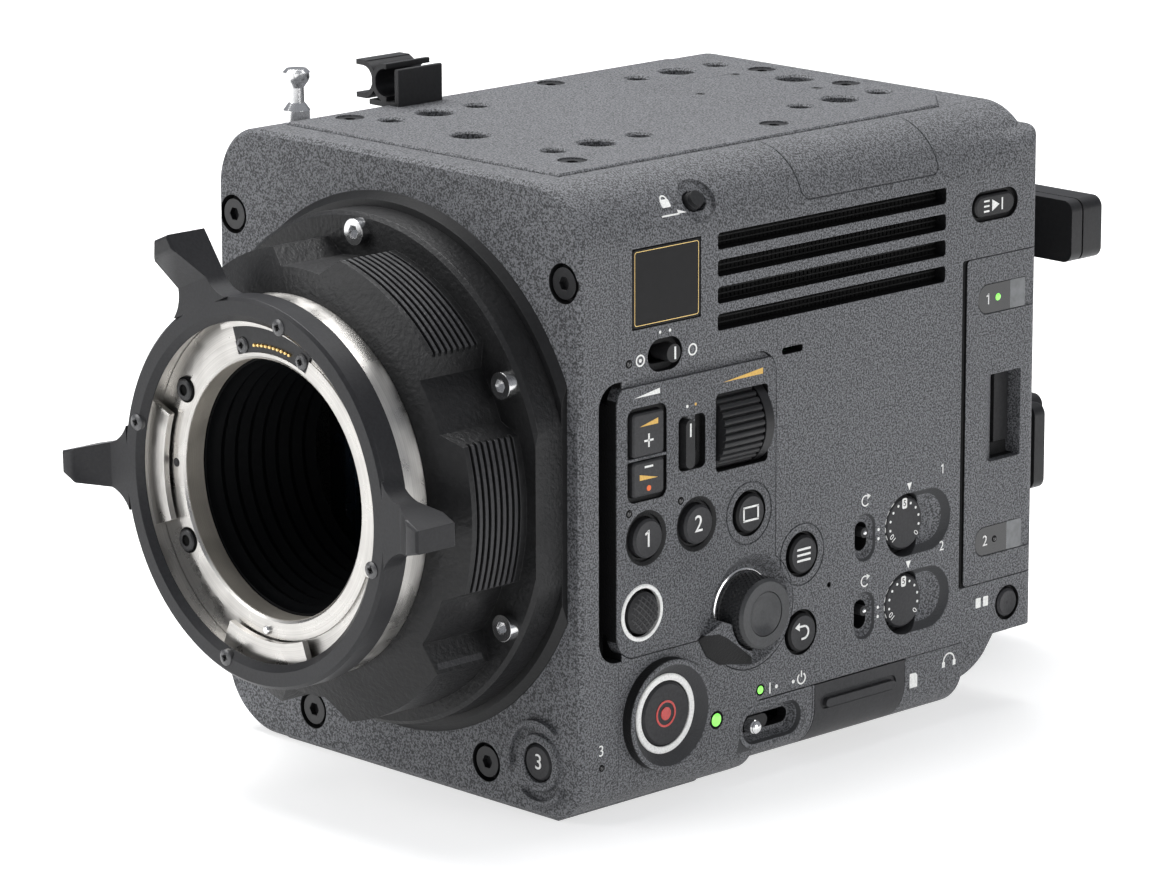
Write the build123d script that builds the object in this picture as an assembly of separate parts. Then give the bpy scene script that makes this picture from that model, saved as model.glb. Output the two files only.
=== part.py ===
from build123d import *
import os
from math import cos, sin, radians, tan

# Cinema camera with a cine lens mount. Millimetres, +Z up, the lens looks along -Y.
# The origin is the mouth of the tripod thread under the image plane, on the lens axis.

# Body
BODY_HALF = 54.86
BODY_LOW = 2.2
BODY_TOP = 131.7
TOP_ROUND = 14.0
LOW_ROUND_LEFT = 14.0
LOW_ROUND_RIGHT = 10.0
FRONT_Y = -18.0
SEAM_Y = -7.5
SHELL_REAR = 116.8
SHELL_ROUND = 5.0
CAP_FRONT = 112.5
CAP_BLEND = 7.0
CAP_DRAFT = 2.4
CAP_TOP = BODY_TOP - 4.5
CAP_ROUND = 5.0
REAR_Y = SHELL_REAR + 3.2
REAR_ROUND = 3.5
FOOT_FLAT = 27.5
FOOT_RISE = 32.5
SKIN = 3.0
FRAME_WALL = 3.3
INSET = SKIN + FRAME_WALL + 0.15
FLOOR_TOP = BODY_LOW + INSET
ROOF = 9.2
REAR_PANEL = 5.6
REAR_WALL = 3.0
REAR_RISE_Z = 17.3
TAIL = ((94.5, BODY_LOW), (102.6, 8.0), (107.0, 12.3), (109.0, 14.8), (111.0, REAR_RISE_Z))
FRONT_LOW = 0.6
FRONT_ROUND_TOP = 13.0
FRONT_ROUND_LOW = 15.0
OUT = BODY_HALF + 6
OVER = BODY_TOP + 10
BEHIND = REAR_Y + 12

# Clearances
SEAT = 0.1
GAP = 0.2
RUN = 0.05

# Lens axis, film plane at y = 0
AXIS_Z = 67.45
THROAT_R = 27.0
FLANGE_FACE = -52.0
MOUNT_RING_R = 56.6
MOUNT_RING_FACE = -19.5
MOUNT_FLAT = 51.0
FRONT_BORE_R = 46.0
ADAPTOR_R = 53.5
ADAPTOR_FACE = -26.7
LOBE_R = 48.4
PLAIN_LOBE_R = 49.9
WAIST_R = 44.5
LOBE_HALF_DEG = 18.0
FLANK_DEG = 4.5
DRUM_FRONT = -45.1
GROOVES = 8
GROOVE_PITCH = 1.6
GROOVE_WIDTH = 0.8
GROOVE_DEPTH = 0.8
ADAPTOR_SCREW_R = 49.9
BARREL_R = 39.2
BARREL_FACE = -50.9
RIM_R = 36.4
SPIGOT_R = 37.0
RING_R = 40.2
RING_FACE = -57.1
RING_LIP_R = 35.15
RING_LIP_FLAT_R = 36.6
RING_LIP = 1.4
RING_WALL = 1.45
SEAT_RING_R = 31.0
SEAT_STEP = 0.5
LUG_FACE = -54.0
LUG_BACK = -52.6
LUGS = {0: 31.2, 90: 33.9, 180: 31.2, 270: 31.2}
LUG_HALF_DEG = 21.0
CONTACT_DEG = 88
CONTACT_HALF_DEG = 21.0
CONTACT_R = (28.3, 34.0)
CONTACT_THICK = 1.1
LEVER_TIP_R = 54.7
LEVER_SHOULDER_R = 51.4
LEVER_KNEE_R = 44.5
LEVER_FACE = -62.1
LEVER_BACK = -52.1
LEVER_ANGLES = (1.0, 113.0, 182.0)
BAFFLE_R = 30.0
BAFFLE_TEETH = 8

# Top plate
PLATE_TOP = BODY_TOP + 0.54
PLATE_LOW = PLATE_TOP - 5.74
PLATE_LEFT = 13.36 - BODY_HALF
PLATE_RIGHT = BODY_HALF - 14.16
PLATE_FRONT = -10.2
PLATE_REAR = SHELL_REAR - 4.8
PLATE_CORNER = 9.6
COUNTERSINK = 0.5
THREAD_LARGE_R = 4.0
THREAD_SMALL_R = 2.6
HOLE_MIDDLE = -3.3
HOLE_SPREAD = 24.6
HOLE_STEP = 12.3
HOLE_ROWS = (19.5, 92.3)
END_HOLES = (6.9, 104.2)
TOP_SCREWS = ((PLATE_LEFT + 5.2, 3.0), (PLATE_RIGHT - 9.1, 2.4), (PLATE_LEFT + 4.7, 62.2),
              (PLATE_RIGHT - 9.1, 61.2), (-16.6, PLATE_REAR - 4.5), (8.8, PLATE_REAR - 4.5))
HATCH = (-17.3, 9.8, 72.2, 99.8)
HATCH_THICK = 1.6

# Base plate
BASE_HALF = 26.0
BASE_LEFT = 17.86 - BODY_HALF
BASE_RIGHT = BODY_HALF - 8.26
BASE_STEP_Y = 23.3
BASE_REAR = 92.0
BASE_TOP = 5.0
BASE_HOLES = ((0.0, 0.0, THREAD_LARGE_R), (0.0, 10.2, THREAD_SMALL_R),
              (0.0, 62.0, THREAD_LARGE_R), (0.0, 74.0, THREAD_SMALL_R))

# Control side, places as (y, z)
PANEL = (-7.9, 38.0, 33.65, 91.3)
PANEL_ROUND = 5.0
CHANNEL_Y = -13.0
CHANNEL_DEPTH = 5.6
BUTTON_R = 4.1
BUTTON_WELL_R = 4.9
BUTTON_WELL = 1.1
PANEL_BUTTONS = {"button_1": (0.5, 58.0), "button_2": (15.0, 58.3), "disp_button": (30.2, 57.9)}
BOWL_R = 6.0
RING_LINE_R = 6.4
MENU = (46.1, 46.2)
BACK = (45.9, 29.4)
SLOT_SELECT = (110.8, 23.4)
SLOT_SELECT_R = 3.1
REC = (5.4, 20.2)
REC_R = 6.7
REC_RING_R = 8.5
REC_BEZEL_R = 11.8
REC_BEZEL_PROUD = 2.6
BUTTON_PROUD = 0.7
BUTTON_DEPTH = 4.0
CLIPS = (104.9, 112.1)
CLIPS_LONG = 12.4
CLIPS_TALL = 4.6
ND_KEYS = {"nd_plus": (0.65, 79.7, 9.0), "nd_minus": (0.65, 70.6, 7.2)}
ND_KEY_LONG = 8.8
ND_POCKET = 0.9
ND_BORDER = 1.2
ND_SLOT = (13.5, 75.7)
ND_SLOT_LONG = 7.8
ND_SLOT_TALL = 11.4
ND_BAR = 2.6
ND_BAR_SHIFT = 1.4
WHEEL = (26.9, 76.3)
WHEEL_R = 9.6
WHEEL_PROUD = 2.4
WHEEL_RIBS = 36
WHEEL_RIB_DEEP = 0.7
WHEEL_WINDOW = (20.4, 35.7, 68.1, 84.5)
AF_SWITCH = (5.7, 95.3)
AF_SHIFT = 1.8
LOCK_SWITCH = (17.0, 32.0)
LOCK_SHIFT = 0.9
JOY = (-0.8, 42.6)
JOY_R = 4.4
JOY_BORE_R = 3.9
JOY_PIVOT = BODY_HALF - 4.6
JOY_PIN_R = 0.5
JOG = (30.8, 37.1)
JOG_R = 7.45
JOG_CUP_R = 11.85
JOG_CUP_DEPTH = 2.5
JOG_PROUD = 4.6
JOG_LIP = 0.7
GUARD_HIGH = 2.6
GUARD_R = 8.2
GUARD_FOOT = ((15.3, 33.5), (17.6, 29.6), (21.5, 27.1), (31.1, 25.4), (31.5, 33.0), (18.5, 37.6))
GUARD_CREST = ((17.6, 36.1), (22.4, 33.8), (25.2, 31.7), (28.6, 28.1), (29.5, 33.0), (20.0, 37.2))
DIALS = {"level_dial_1": (79.0, 46.6), "level_dial_2": (78.9, 29.5)}
DIAL_R = 5.9
DIAL_LOW = 1.3
DIAL_THICK = 2.4
WELL_R = 6.9
WELL_DEPTH = 4.0
WELL_SHIFT = 0.65
SCOOP_LONG = 7.0
SCOOP_DEPTH = 3.3
AUTO_SWITCHES = {"auto_switch_1": (65.4, 46.2), "auto_switch_2": (65.35, 29.2)}
AUTO_SHIFT = 1.0
AUTO_MOUTH = (6.6, 10.6)
AUTO_SLOT = (4.0, 6.3)
POWER = (37.3, 11.6)
POWER_LONG = 18.9
POWER_TALL = 8.6
POWER_DEPTH = 2.8
POWER_SHIFT = 2.7
VENTS = 4
VENT_SPAN = (20.8, 89.5)
VENT_LOW = 97.6
VENT_PITCH = 5.6
VENT_TALL = 3.5
BADGE = (-3.6, 16.0, 101.4, 118.0)
SIDE_HATCH = (46.0, 88.0, 120.9)
SEAM_WIDTH = 0.35
DOOR_Y = REAR_Y - 25.0
DOOR_EDGE = DOOR_Y + 1.5
DOOR_LOW = 29.2
DOOR_HIGH = 101.2
DOORWAY_ROUND = 0.6
HINGE = (BODY_HALF - 1.71, DOOR_Y + 2.3)
HINGE_KNUCKLE_R = 1.3
HINGE_PIN_R = 0.7
GRIP = (102.9, 114.1, 55.9, 75.1)
GRIP_STEP = 106.8
GRIP_DEPTH = 3.9
LATCH_LONG = 4.4
WINDOW_Y = 100.1
WINDOWS = (91.8, 38.4)
WINDOW_TALL = 6.6
POD_Y = 49.5
POD_REAR = 96.5
POD_TOP = 17.1
SD_FLAP = (50.4, 78.2, 16.95)
SD_SKIN = 1.8
SD_HINGE = (BODY_HALF - 9.96, BODY_LOW + 0.9)
SD_PIN_R = 0.5
SD_SWING_R = 1.45
SD_SLOT = (52.0, 76.4, 11.9, 14.5)
SCREW_FRONT = ((4.86 - BODY_HALF, 112.5), (BODY_HALF - 4.86, 112.5), (-26.8, 8.7), (26.8, 8.7))
SCREW_HEAD_R = 3.25
SCREW_RECESS_R = 4.15
BUTTON_3 = (BODY_HALF - 12.06, 12.1)

# Rear and far side
BATTERY_HALF = 19.0
BATTERY_STAND = 28.5
BATTERY_PLATE = 10.0
BATTERY_LAYER = 3.4
BATTERY_LINE = 0.5
SPINE = (24.5, 18.8)
WEDGE = (13.5, 16.5)
WEDGE_DEPTH = 4.6
WEDGE_DRAFT = 2.5
BATTERY_LOW = 22.0
BATTERY_HIGH = 104.4
EAR_HALF = 39.0
EAR_LOW = 90.5
LOW_EAR_HALF = (29.2, 22.7)
LOW_EAR = (37.0, 56.5)
RELEASE = (133.0, 98.0)
RELEASE_R = 4.6
AUDIO_OUT = -31.24 - BODY_HALF
AUDIO = (40.0, 104.0, 42.0, 112.0)
XLR = ((-15.64 - BODY_HALF, 60.0), (-15.64 - BODY_HALF, 94.0))
XLR_R = 9.7
BNC_X = 17.36 - BODY_HALF
BNC_Z = (38.0, 60.0, 82.0, 104.0)
DC_SOCKET = (BODY_HALF - 24.36, 84.0)

# Tape hook and cable clamp
HOOK = (5.86 - BODY_HALF, -0.7)
HOOK_FOOT = BODY_TOP - 2.5
HOOK_HIGH = 12.4
HOOK_ROOT = 4.2
CLAMP_Y = (18.6, 31.2)
CLAMP_LEFT = PLATE_LEFT - 6.0
CLAMP_PLATE_X = PLATE_LEFT + 2.1
CLAMP_NOTCH = PLATE_LEFT + 3.6
CLAMP_FOOT = 1.2
CLAMP_R = 4.1
CLAMP_WALL = 1.1
CLAMP_HIGH = 8.5

# Inside
FAN = (50.0, 70.0)
FAN_R = 22.0
FAN_HALF = 25.0
FAN_BLADES = 7
FINS = 9


def block(x0, x1, y0, y1, z0, z1):
    return Pos((x0 + x1) / 2, (y0 + y1) / 2, (z0 + z1) / 2) * Box(x1 - x0, y1 - y0, z1 - z0)


def prism_x(shape, x0, x1):
    """A side-view shape drawn in (y, z), from x0 to x1."""
    plane = Plane(origin=(x0, 0, 0), x_dir=(0, 1, 0), z_dir=(1, 0, 0))
    return extrude(plane * shape, x1 - x0)


def prism_y(shape, y0, y1):
    """A front-view shape drawn in (x, z), from y0 back to y1."""
    plane = Plane(origin=(0, y1, 0), x_dir=(1, 0, 0), z_dir=(0, -1, 0))
    return extrude(plane * shape, y1 - y0)


def prism_z(shape, z0, z1):
    """A plan-view shape drawn in (x, y), from z0 to z1."""
    return extrude(Pos(0, 0, z0) * shape, z1 - z0)


def rod_x(y, z, r, x0, x1):
    return prism_x(Pos(y, z) * Circle(r), x0, x1)


def rod_y(x, z, r, y0, y1):
    return prism_y(Pos(x, z) * Circle(r), y0, y1)


def rod_z(x, y, r, z0, z1):
    return prism_z(Pos(x, y) * Circle(r), z0, z1)


def lathe_x(profile, y, z):
    """A profile of (x, radius) points turned about the line at (y, z)."""
    plane = Plane(origin=(0, y, z), x_dir=(1, 0, 0), z_dir=(0, -1, 0))
    return revolve(plane * make_face(Polyline(*profile, close=True)), Axis((0, y, z), (1, 0, 0)))


def lathe_y(profile, x=0.0, z=AXIS_Z):
    """A profile of (radius, y) points turned about the line at (x, z)."""
    face = Pos(x, 0, z) * make_face(Polyline(*profile, close=True))
    return revolve(face, Axis((x, 0, z), (0, 1, 0)))


def lathe_z(profile, x, y):
    """A profile of (radius, z) points turned about the line at (x, y)."""
    plane = Plane(origin=(x, y, 0), x_dir=(1, 0, 0), z_dir=(0, -1, 0))
    return revolve(plane * make_face(Polyline(*profile, close=True)), Axis((x, y, 0), (0, 0, 1)))


def rounded(x0, x1, y0, y1, *radii):
    """A rectangle with its own radius at the low-left, low-right, high-right and high-left corner."""
    shape = Pos((x0 + x1) / 2, (y0 + y1) / 2) * Rectangle(x1 - x0, y1 - y0)
    corners = ((x0, y0), (x1, y0), (x1, y1), (x0, y1))
    for corner, radius in zip(corners, radii):
        if radius > 0:
            shape = fillet(shape.vertices().sort_by_distance((*corner, 0))[0], radius)
    return shape


def slot(y, z, long, tall):
    return Pos(y, z) * SlotOverall(long, tall)


def upright(y, z, wide, tall):
    return Pos(y, z) * Rot(0, 0, 90) * SlotOverall(tall, wide)


def about_lens(piece, degrees):
    """Turns a piece drawn on +X about the lens axis, anticlockwise from the front."""
    return Pos(0, 0, AXIS_Z) * Rot(0, -degrees, 0) * Pos(0, 0, -AXIS_Z) * piece


def sector(inner, outer, half_degrees):
    """A ring sector about +X in the front view, centred on the lens axis."""
    far = outer * 1.6
    side = far * tan(radians(half_degrees))
    wedge = make_face(Polyline((0, 0), (far, side), (far, -side), close=True))
    return Pos(0, AXIS_Z) * ((Circle(outer) - Circle(inner)) & wedge)


def dish(mouth, floor, deep, high=0.0):
    """A pocket in the control side whose walls slope from its mouth to its floor."""
    low = Plane(origin=(BODY_HALF + high - deep, 0, 0), x_dir=(0, 1, 0), z_dir=(1, 0, 0))
    sloped = loft([low * floor, low.offset(deep) * mouth], ruled=True)
    return sloped + prism_x(mouth, BODY_HALF + high, BODY_HALF + high + 1)


def body_outline(inset=0.0):
    side = BODY_HALF - inset
    return rounded(-side, side, BODY_LOW + inset, BODY_TOP - inset, LOW_ROUND_LEFT - inset,
                   LOW_ROUND_RIGHT - inset, TOP_ROUND - inset, TOP_ROUND - inset)


def cap_outline(inset=0.0):
    """The rear end's outline, lower and squarer in the shoulders than the body."""
    side = BODY_HALF - inset
    shoulder = max(CAP_ROUND - inset, 0.6)
    return rounded(-side, side, BODY_LOW + inset, CAP_TOP - inset, LOW_ROUND_LEFT - inset,
                   LOW_ROUND_RIGHT - inset, shoulder, shoulder)


def upright_rounds(solid, side, rear, radius):
    """The solid with its two upright rear corners rounded."""
    for sign in (-1, 1):
        middle = sign * (side - radius)
        corner = block(*sorted((middle, sign * (side + 1))), rear - radius, rear + 1, -1, OVER)
        solid -= corner - rod_z(middle, rear - radius, radius, -2, OVER + 1)
    return solid


def body_solid(inset=0.0):
    """The rounded body with its rear cap and front foot, or the same this far inside its skin."""
    side = BODY_HALF - inset
    shell = prism_y(body_outline(inset), SEAM_Y, SHELL_REAR - inset)
    shell = upright_rounds(shell, side, SHELL_REAR - inset, SHELL_ROUND - inset)
    cap = prism_y(cap_outline(inset), CAP_FRONT, REAR_Y - inset)
    cap = upright_rounds(cap, side, REAR_Y - inset, REAR_ROUND - inset)
    start = Plane(origin=(0, CAP_FRONT, 0), x_dir=(1, 0, 0), z_dir=(0, -1, 0))
    narrower = start.offset(CAP_BLEND) * cap_outline(inset + CAP_DRAFT)
    blend = loft([start * cap_outline(inset), narrower], ruled=True)
    low = FRONT_LOW + inset
    left, right = LOW_ROUND_LEFT - inset, LOW_ROUND_RIGHT - inset
    foot = prism_y(rounded(-side, side, low, AXIS_Z, left, right, 0, 0), SEAM_Y, FOOT_RISE)
    flat, rise = FOOT_FLAT - inset / 2, FOOT_RISE - inset / 2
    reach = make_face(Polyline((SEAM_Y, low), (flat, low), (rise, BODY_LOW + inset), (rise, AXIS_Z),
                               (SEAM_Y, AXIS_Z), close=True))
    foot &= prism_x(reach, -side - 1, side + 1)
    return shell + cap + blend + foot


def under_rear_rise():
    """What the body's upswept tail leaves out below it."""
    low = -OUT
    shape = make_face(Polyline((TAIL[0][0], low), *TAIL, (BEHIND, REAR_RISE_Z), (BEHIND, low), close=True))
    return prism_x(shape, -OUT, OUT)


def plate_outline(grow=0.0):
    cut = PLATE_CORNER
    shape = make_face(Polyline(
        (PLATE_LEFT, PLATE_FRONT), (PLATE_RIGHT, PLATE_FRONT), (PLATE_RIGHT, PLATE_REAR - cut),
        (PLATE_RIGHT - cut, PLATE_REAR), (PLATE_LEFT + cut, PLATE_REAR), (PLATE_LEFT, PLATE_REAR - cut),
        close=True))
    return offset(shape, grow, kind=Kind.INTERSECTION) if grow else shape


def panel_outline(grow=0.0):
    y0, y1, z0, z1 = PANEL
    shape = rounded(y0, y1, z0, z1, PANEL_ROUND, 1.0, PANEL_ROUND, PANEL_ROUND)
    shape += Pos(*JOG) * Circle(JOG_CUP_R + JOG_LIP)
    return offset(shape, grow) if grow else shape


def channel():
    """The finger channel in front of the control panel."""
    shape = rounded(CHANNEL_Y, SEAM_Y + 1, PANEL[2] - GAP, PANEL[3] + GAP, PANEL_ROUND, 0, 0, PANEL_ROUND)
    return prism_x(shape, BODY_HALF - CHANNEL_DEPTH, BODY_HALF + 1)


def front_plate():
    outline = rounded(-BODY_HALF, BODY_HALF, FRONT_LOW, BODY_TOP,
                      FRONT_ROUND_LOW, LOW_ROUND_RIGHT, FRONT_ROUND_TOP, FRONT_ROUND_TOP)
    plate = prism_y(outline, FRONT_Y, SEAM_Y - SEAT)
    plate = chamfer(plate.faces().sort_by(Axis.Y)[0].edges(), 0.9)
    plate -= rod_y(0, AXIS_Z, FRONT_BORE_R, FRONT_Y - 1, SEAM_Y + 1)
    plate -= prism_z(plate_outline(SEAT), PLATE_LOW - SEAT, BODY_TOP + 1)
    plate -= channel()
    for x, z in SCREW_FRONT:
        plate -= rod_y(x, z, SCREW_RECESS_R, FRONT_Y - 1, FRONT_Y + 2.6)
        plate -= rod_y(x, z, 1.7, FRONT_Y, SEAM_Y + 1)
    x, z = BUTTON_3
    plate += lathe_y(((4.2, FRONT_Y + 1), (4.2, FRONT_Y - 0.7), (4.8, FRONT_Y - 1.0),
                      (5.9, FRONT_Y - 0.8), (6.4, FRONT_Y + 1)), x, z)
    guard = (Circle(9.0) - Circle(7.9)) - Rot(0, 0, 35) * Rectangle(30, 5.5)
    guard -= Pos(12, 0) * Rectangle(11, 30)
    plate += prism_y(Pos(x, z) * guard, FRONT_Y - 1.3, FRONT_Y + 1)
    plate -= rod_y(x, z, BUTTON_R - 0.1, FRONT_Y - 2, FRONT_Y + 5.5)
    return plate


def mount_base():
    """The black ring that carries the lens side on the front plate."""
    spigot = FRONT_BORE_R - SEAT
    ring = lathe_y(((36.0, MOUNT_RING_FACE), (MOUNT_RING_R - 1.6, MOUNT_RING_FACE), (MOUNT_RING_R, FRONT_Y),
                    (spigot, FRONT_Y), (spigot, -10.0), (36.0, -10.0)))
    return ring & block(-MOUNT_FLAT, MOUNT_FLAT, ADAPTOR_FACE, 0, 0, OVER)


def lobe(outer):
    """One lobe of the adaptor's drum, about +X in the front view."""
    top = radians(LOBE_HALF_DEG)
    foot = radians(LOBE_HALF_DEG + FLANK_DEG)
    inner = WAIST_R - 3
    corners = [(outer * cos(top), outer * sin(top)), (WAIST_R * cos(foot), WAIST_R * sin(foot)),
               (inner * cos(foot), inner * sin(foot))]
    mirrored = [(x, -y) for x, y in reversed(corners)]
    edge = ThreePointArc(mirrored[-1], (outer, 0), corners[0])
    rest = Polyline(*corners, *mirrored)
    return Pos(0, AXIS_Z) * make_face(edge + rest)


def adaptor_body():
    """Flanged, lobed drum with grip grooves on its right and left lobes."""
    drum = prism_y(Pos(0, AXIS_Z) * Circle(WAIST_R), DRUM_FRONT, ADAPTOR_FACE)
    for step in range(6):
        angle = 60 * step
        piece = prism_y(lobe(PLAIN_LOBE_R if angle in (240, 300) else LOBE_R), DRUM_FRONT, ADAPTOR_FACE)
        if angle in (0, 60, 180):
            for groove in range(GROOVES):
                y = ADAPTOR_FACE - 1.6 - groove * GROOVE_PITCH
                ring = lathe_y(((LOBE_R - GROOVE_DEPTH, y), (LOBE_R + 2, y),
                                (LOBE_R + 2, y - GROOVE_WIDTH), (LOBE_R - GROOVE_DEPTH, y - GROOVE_WIDTH)))
                piece -= ring
        drum += about_lens(piece, angle)
    nose = lathe_y(((0, ADAPTOR_FACE + 1), (60, ADAPTOR_FACE + 1), (60, DRUM_FRONT + 7.9),
                    (51.3, DRUM_FRONT + 4.8), (40.4, DRUM_FRONT), (0, DRUM_FRONT)))
    drum = drum & nose
    flange = lathe_y(((30, ADAPTOR_FACE), (ADAPTOR_R - 0.8, ADAPTOR_FACE), (ADAPTOR_R, ADAPTOR_FACE + 0.8),
                      (ADAPTOR_R, MOUNT_RING_FACE), (30, MOUNT_RING_FACE)))
    body = drum + (flange & block(-MOUNT_FLAT, MOUNT_FLAT, ADAPTOR_FACE - 1, 0, 0, OVER))
    body -= rod_y(0, AXIS_Z, SPIGOT_R + SEAT, DRUM_FRONT - 1, -37.9)
    body -= rod_y(0, AXIS_Z, BAFFLE_R + 2, DRUM_FRONT - 1, 0)
    for step in range(6):
        angle = radians(30 + 60 * step)
        x = ADAPTOR_SCREW_R * cos(angle)
        z = AXIS_Z + ADAPTOR_SCREW_R * sin(angle)
        body -= rod_y(x, z, 1.5 + SEAT, ADAPTOR_FACE - 1, 0)
    return body


def socket_screw(head_r, head_h, key_r, shank_r, length):
    """A socket-head screw standing on z = 0, head up."""
    screw = rod_z(0, 0, head_r, 0, head_h) + rod_z(0, 0, shank_r, -length, 0)
    return screw - Pos(0, 0, head_h - 1.3) * extrude(RegularPolygon(key_r, 6), 3)


def adaptor_screws():
    screws = []
    for step in range(6):
        angle = radians(30 + 60 * step)
        x = ADAPTOR_SCREW_R * cos(angle)
        z = AXIS_Z + ADAPTOR_SCREW_R * sin(angle)
        screws.append(Pos(x, ADAPTOR_FACE, z) * Rot(90, 0, 0) * socket_screw(2.75, 2.2, 1.45, 1.5, 6.8))
    return Compound(children=screws)


def lens_flange():
    """Steel flange, bore and the barrel that the lock ring turns on."""
    relief = FLANGE_FACE + SEAT_STEP
    flange = lathe_y(((THROAT_R, -46.8), (THROAT_R, FLANGE_FACE + 0.4), (THROAT_R + 0.5, FLANGE_FACE),
                      (SEAT_RING_R, FLANGE_FACE), (SEAT_RING_R, relief), (RIM_R, relief), (RIM_R, BARREL_FACE),
                      (BARREL_R - 0.2, BARREL_FACE), (BARREL_R + 0.2, DRUM_FRONT - SEAT),
                      (SPIGOT_R, DRUM_FRONT - SEAT), (SPIGOT_R, -38.0), (BAFFLE_R + 0.15, -38.0),
                      (BAFFLE_R + 0.15, -46.8)))
    inner, outer = CONTACT_R
    pocket = sector(inner - SEAT, outer + SEAT, CONTACT_HALF_DEG + 0.2)
    flange -= about_lens(prism_y(pocket, FLANGE_FACE - 1, FLANGE_FACE + CONTACT_THICK + SEAT), CONTACT_DEG)
    return flange


def lens_baffle():
    """Ridged black tube behind the throat."""
    front, rear = -46.7, -20.0
    inner = [(BAFFLE_R, rear), (BAFFLE_R, front), (26.4, front)]
    step = (rear - front) / BAFFLE_TEETH
    for tooth in range(BAFFLE_TEETH):
        y = front + step * tooth
        r = 26.4 - 0.42 * tooth
        inner += [(r, y + step * 0.35), (r - 0.9, y + step * 0.98)]
    inner.append((22.4, rear))
    return lathe_y(inner)


def contact_block():
    """Insulator of the lens contacts, sunk into the flange."""
    face = FLANGE_FACE + RUN
    piece = prism_y(sector(*CONTACT_R, CONTACT_HALF_DEG), face, FLANGE_FACE + CONTACT_THICK)
    return about_lens(piece, CONTACT_DEG)


def lever():
    """A lock-ring lever on +X: flared at the ring, swept forward and cut square at the tip."""
    knee, shoulder, tip = LEVER_KNEE_R, LEVER_SHOULDER_R, LEVER_TIP_R
    root = 39.2
    low = ThreePointArc((root, -8.9), (41.3, -6.3), (knee, -4.75))
    sides = Polyline((knee, -4.75), (tip, -2.4), (tip, 2.3), (shoulder, 3.9), (knee, 4.75))
    high = ThreePointArc((knee, 4.75), (41.3, 6.3), (root, 8.9))
    front = make_face(low + sides + high + Line((root, 8.9), (root, -8.9)))
    side = make_face(Polyline((root - 1, RING_FACE), (knee, RING_FACE), (shoulder, LEVER_FACE),
                              (tip, LEVER_FACE), (tip, LEVER_BACK), (root - 1, LEVER_BACK), close=True))
    arm = prism_y(Pos(0, AXIS_Z) * front, LEVER_FACE - 1, LEVER_BACK + 1)
    arm &= prism_z(side, AXIS_Z - 10, AXIS_Z + 10)
    return chamfer(arm.faces().sort_by(Axis.Y)[0].edges(), 0.5)


def lock_ring():
    """Black ring with three levers; it turns on the barrel and pulls the lens in."""
    inner = RING_R - RING_WALL
    back = BARREL_FACE - 0.3
    ring = lathe_y(((RING_LIP_FLAT_R, RING_FACE), (RING_R - 0.7, RING_FACE), (RING_R, RING_FACE + 0.7),
                    (RING_R, back), (inner, back), (inner, RING_FACE + RING_LIP),
                    (RING_LIP_R, RING_FACE + RING_LIP)))
    for angle in LEVER_ANGLES:
        ring += about_lens(lever(), angle)
    return ring


def bayonet_ring():
    """Steel ring inside the lock ring, with the four lugs that press on the lens."""
    outer = RING_R - RING_WALL - SEAT
    front = RING_FACE + RING_LIP + SEAT
    back = BARREL_FACE - 0.3
    ring = lathe_y(((RIM_R + 0.1, front), (outer, front), (outer, back), (RIM_R + 0.1, back)))
    for angle, inner in LUGS.items():
        ring += about_lens(prism_y(sector(inner, RIM_R + 0.5, LUG_HALF_DEG), LUG_FACE, LUG_BACK), angle)
    return ring


def sensor_module():
    """Carrier plate with guide bars for the filter, and the sensor package in its pocket."""
    carrier = block(-40, 40, -0.6, 4.4, FLOOR_TOP + SEAT, 104)
    for side in (-1, 1):
        carrier += block(*sorted((side * 24.5, side * 27.5)), SEAM_Y + 0.2, -0.6, FLOOR_TOP + SEAT, 90)
    carrier -= block(-20, 20, -1, 1.8, AXIS_Z - 14, AXIS_Z + 14)
    package = block(-19.9, 19.9, -1.2, 1.7, AXIS_Z - 13.9, AXIS_Z + 13.9)
    return Compound(children=[carrier, package])


def nd_filter():
    """Dark filter in its frame, sliding down out of the light path."""
    frame = block(-24.3, 24.3, -6.4, -3.4, AXIS_Z - 18, AXIS_Z + 18)
    frame -= block(-20.5, 20.5, -7, -3, AXIS_Z - 14.5, AXIS_Z + 14.5)
    glass = block(-20.5, 20.5, -5.9, -3.9, AXIS_Z - 14.5, AXIS_Z + 14.5)
    return frame + glass


def cavity():
    """The room inside the frame."""
    room = prism_y(body_outline(INSET), SEAM_Y - 5, REAR_Y - REAR_PANEL - REAR_WALL)
    room -= block(-OUT, OUT, SEAM_Y - 6, BEHIND, BODY_TOP - ROOF, OVER)
    return room - Pos(0, -9, 7) * under_rear_rise()


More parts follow.
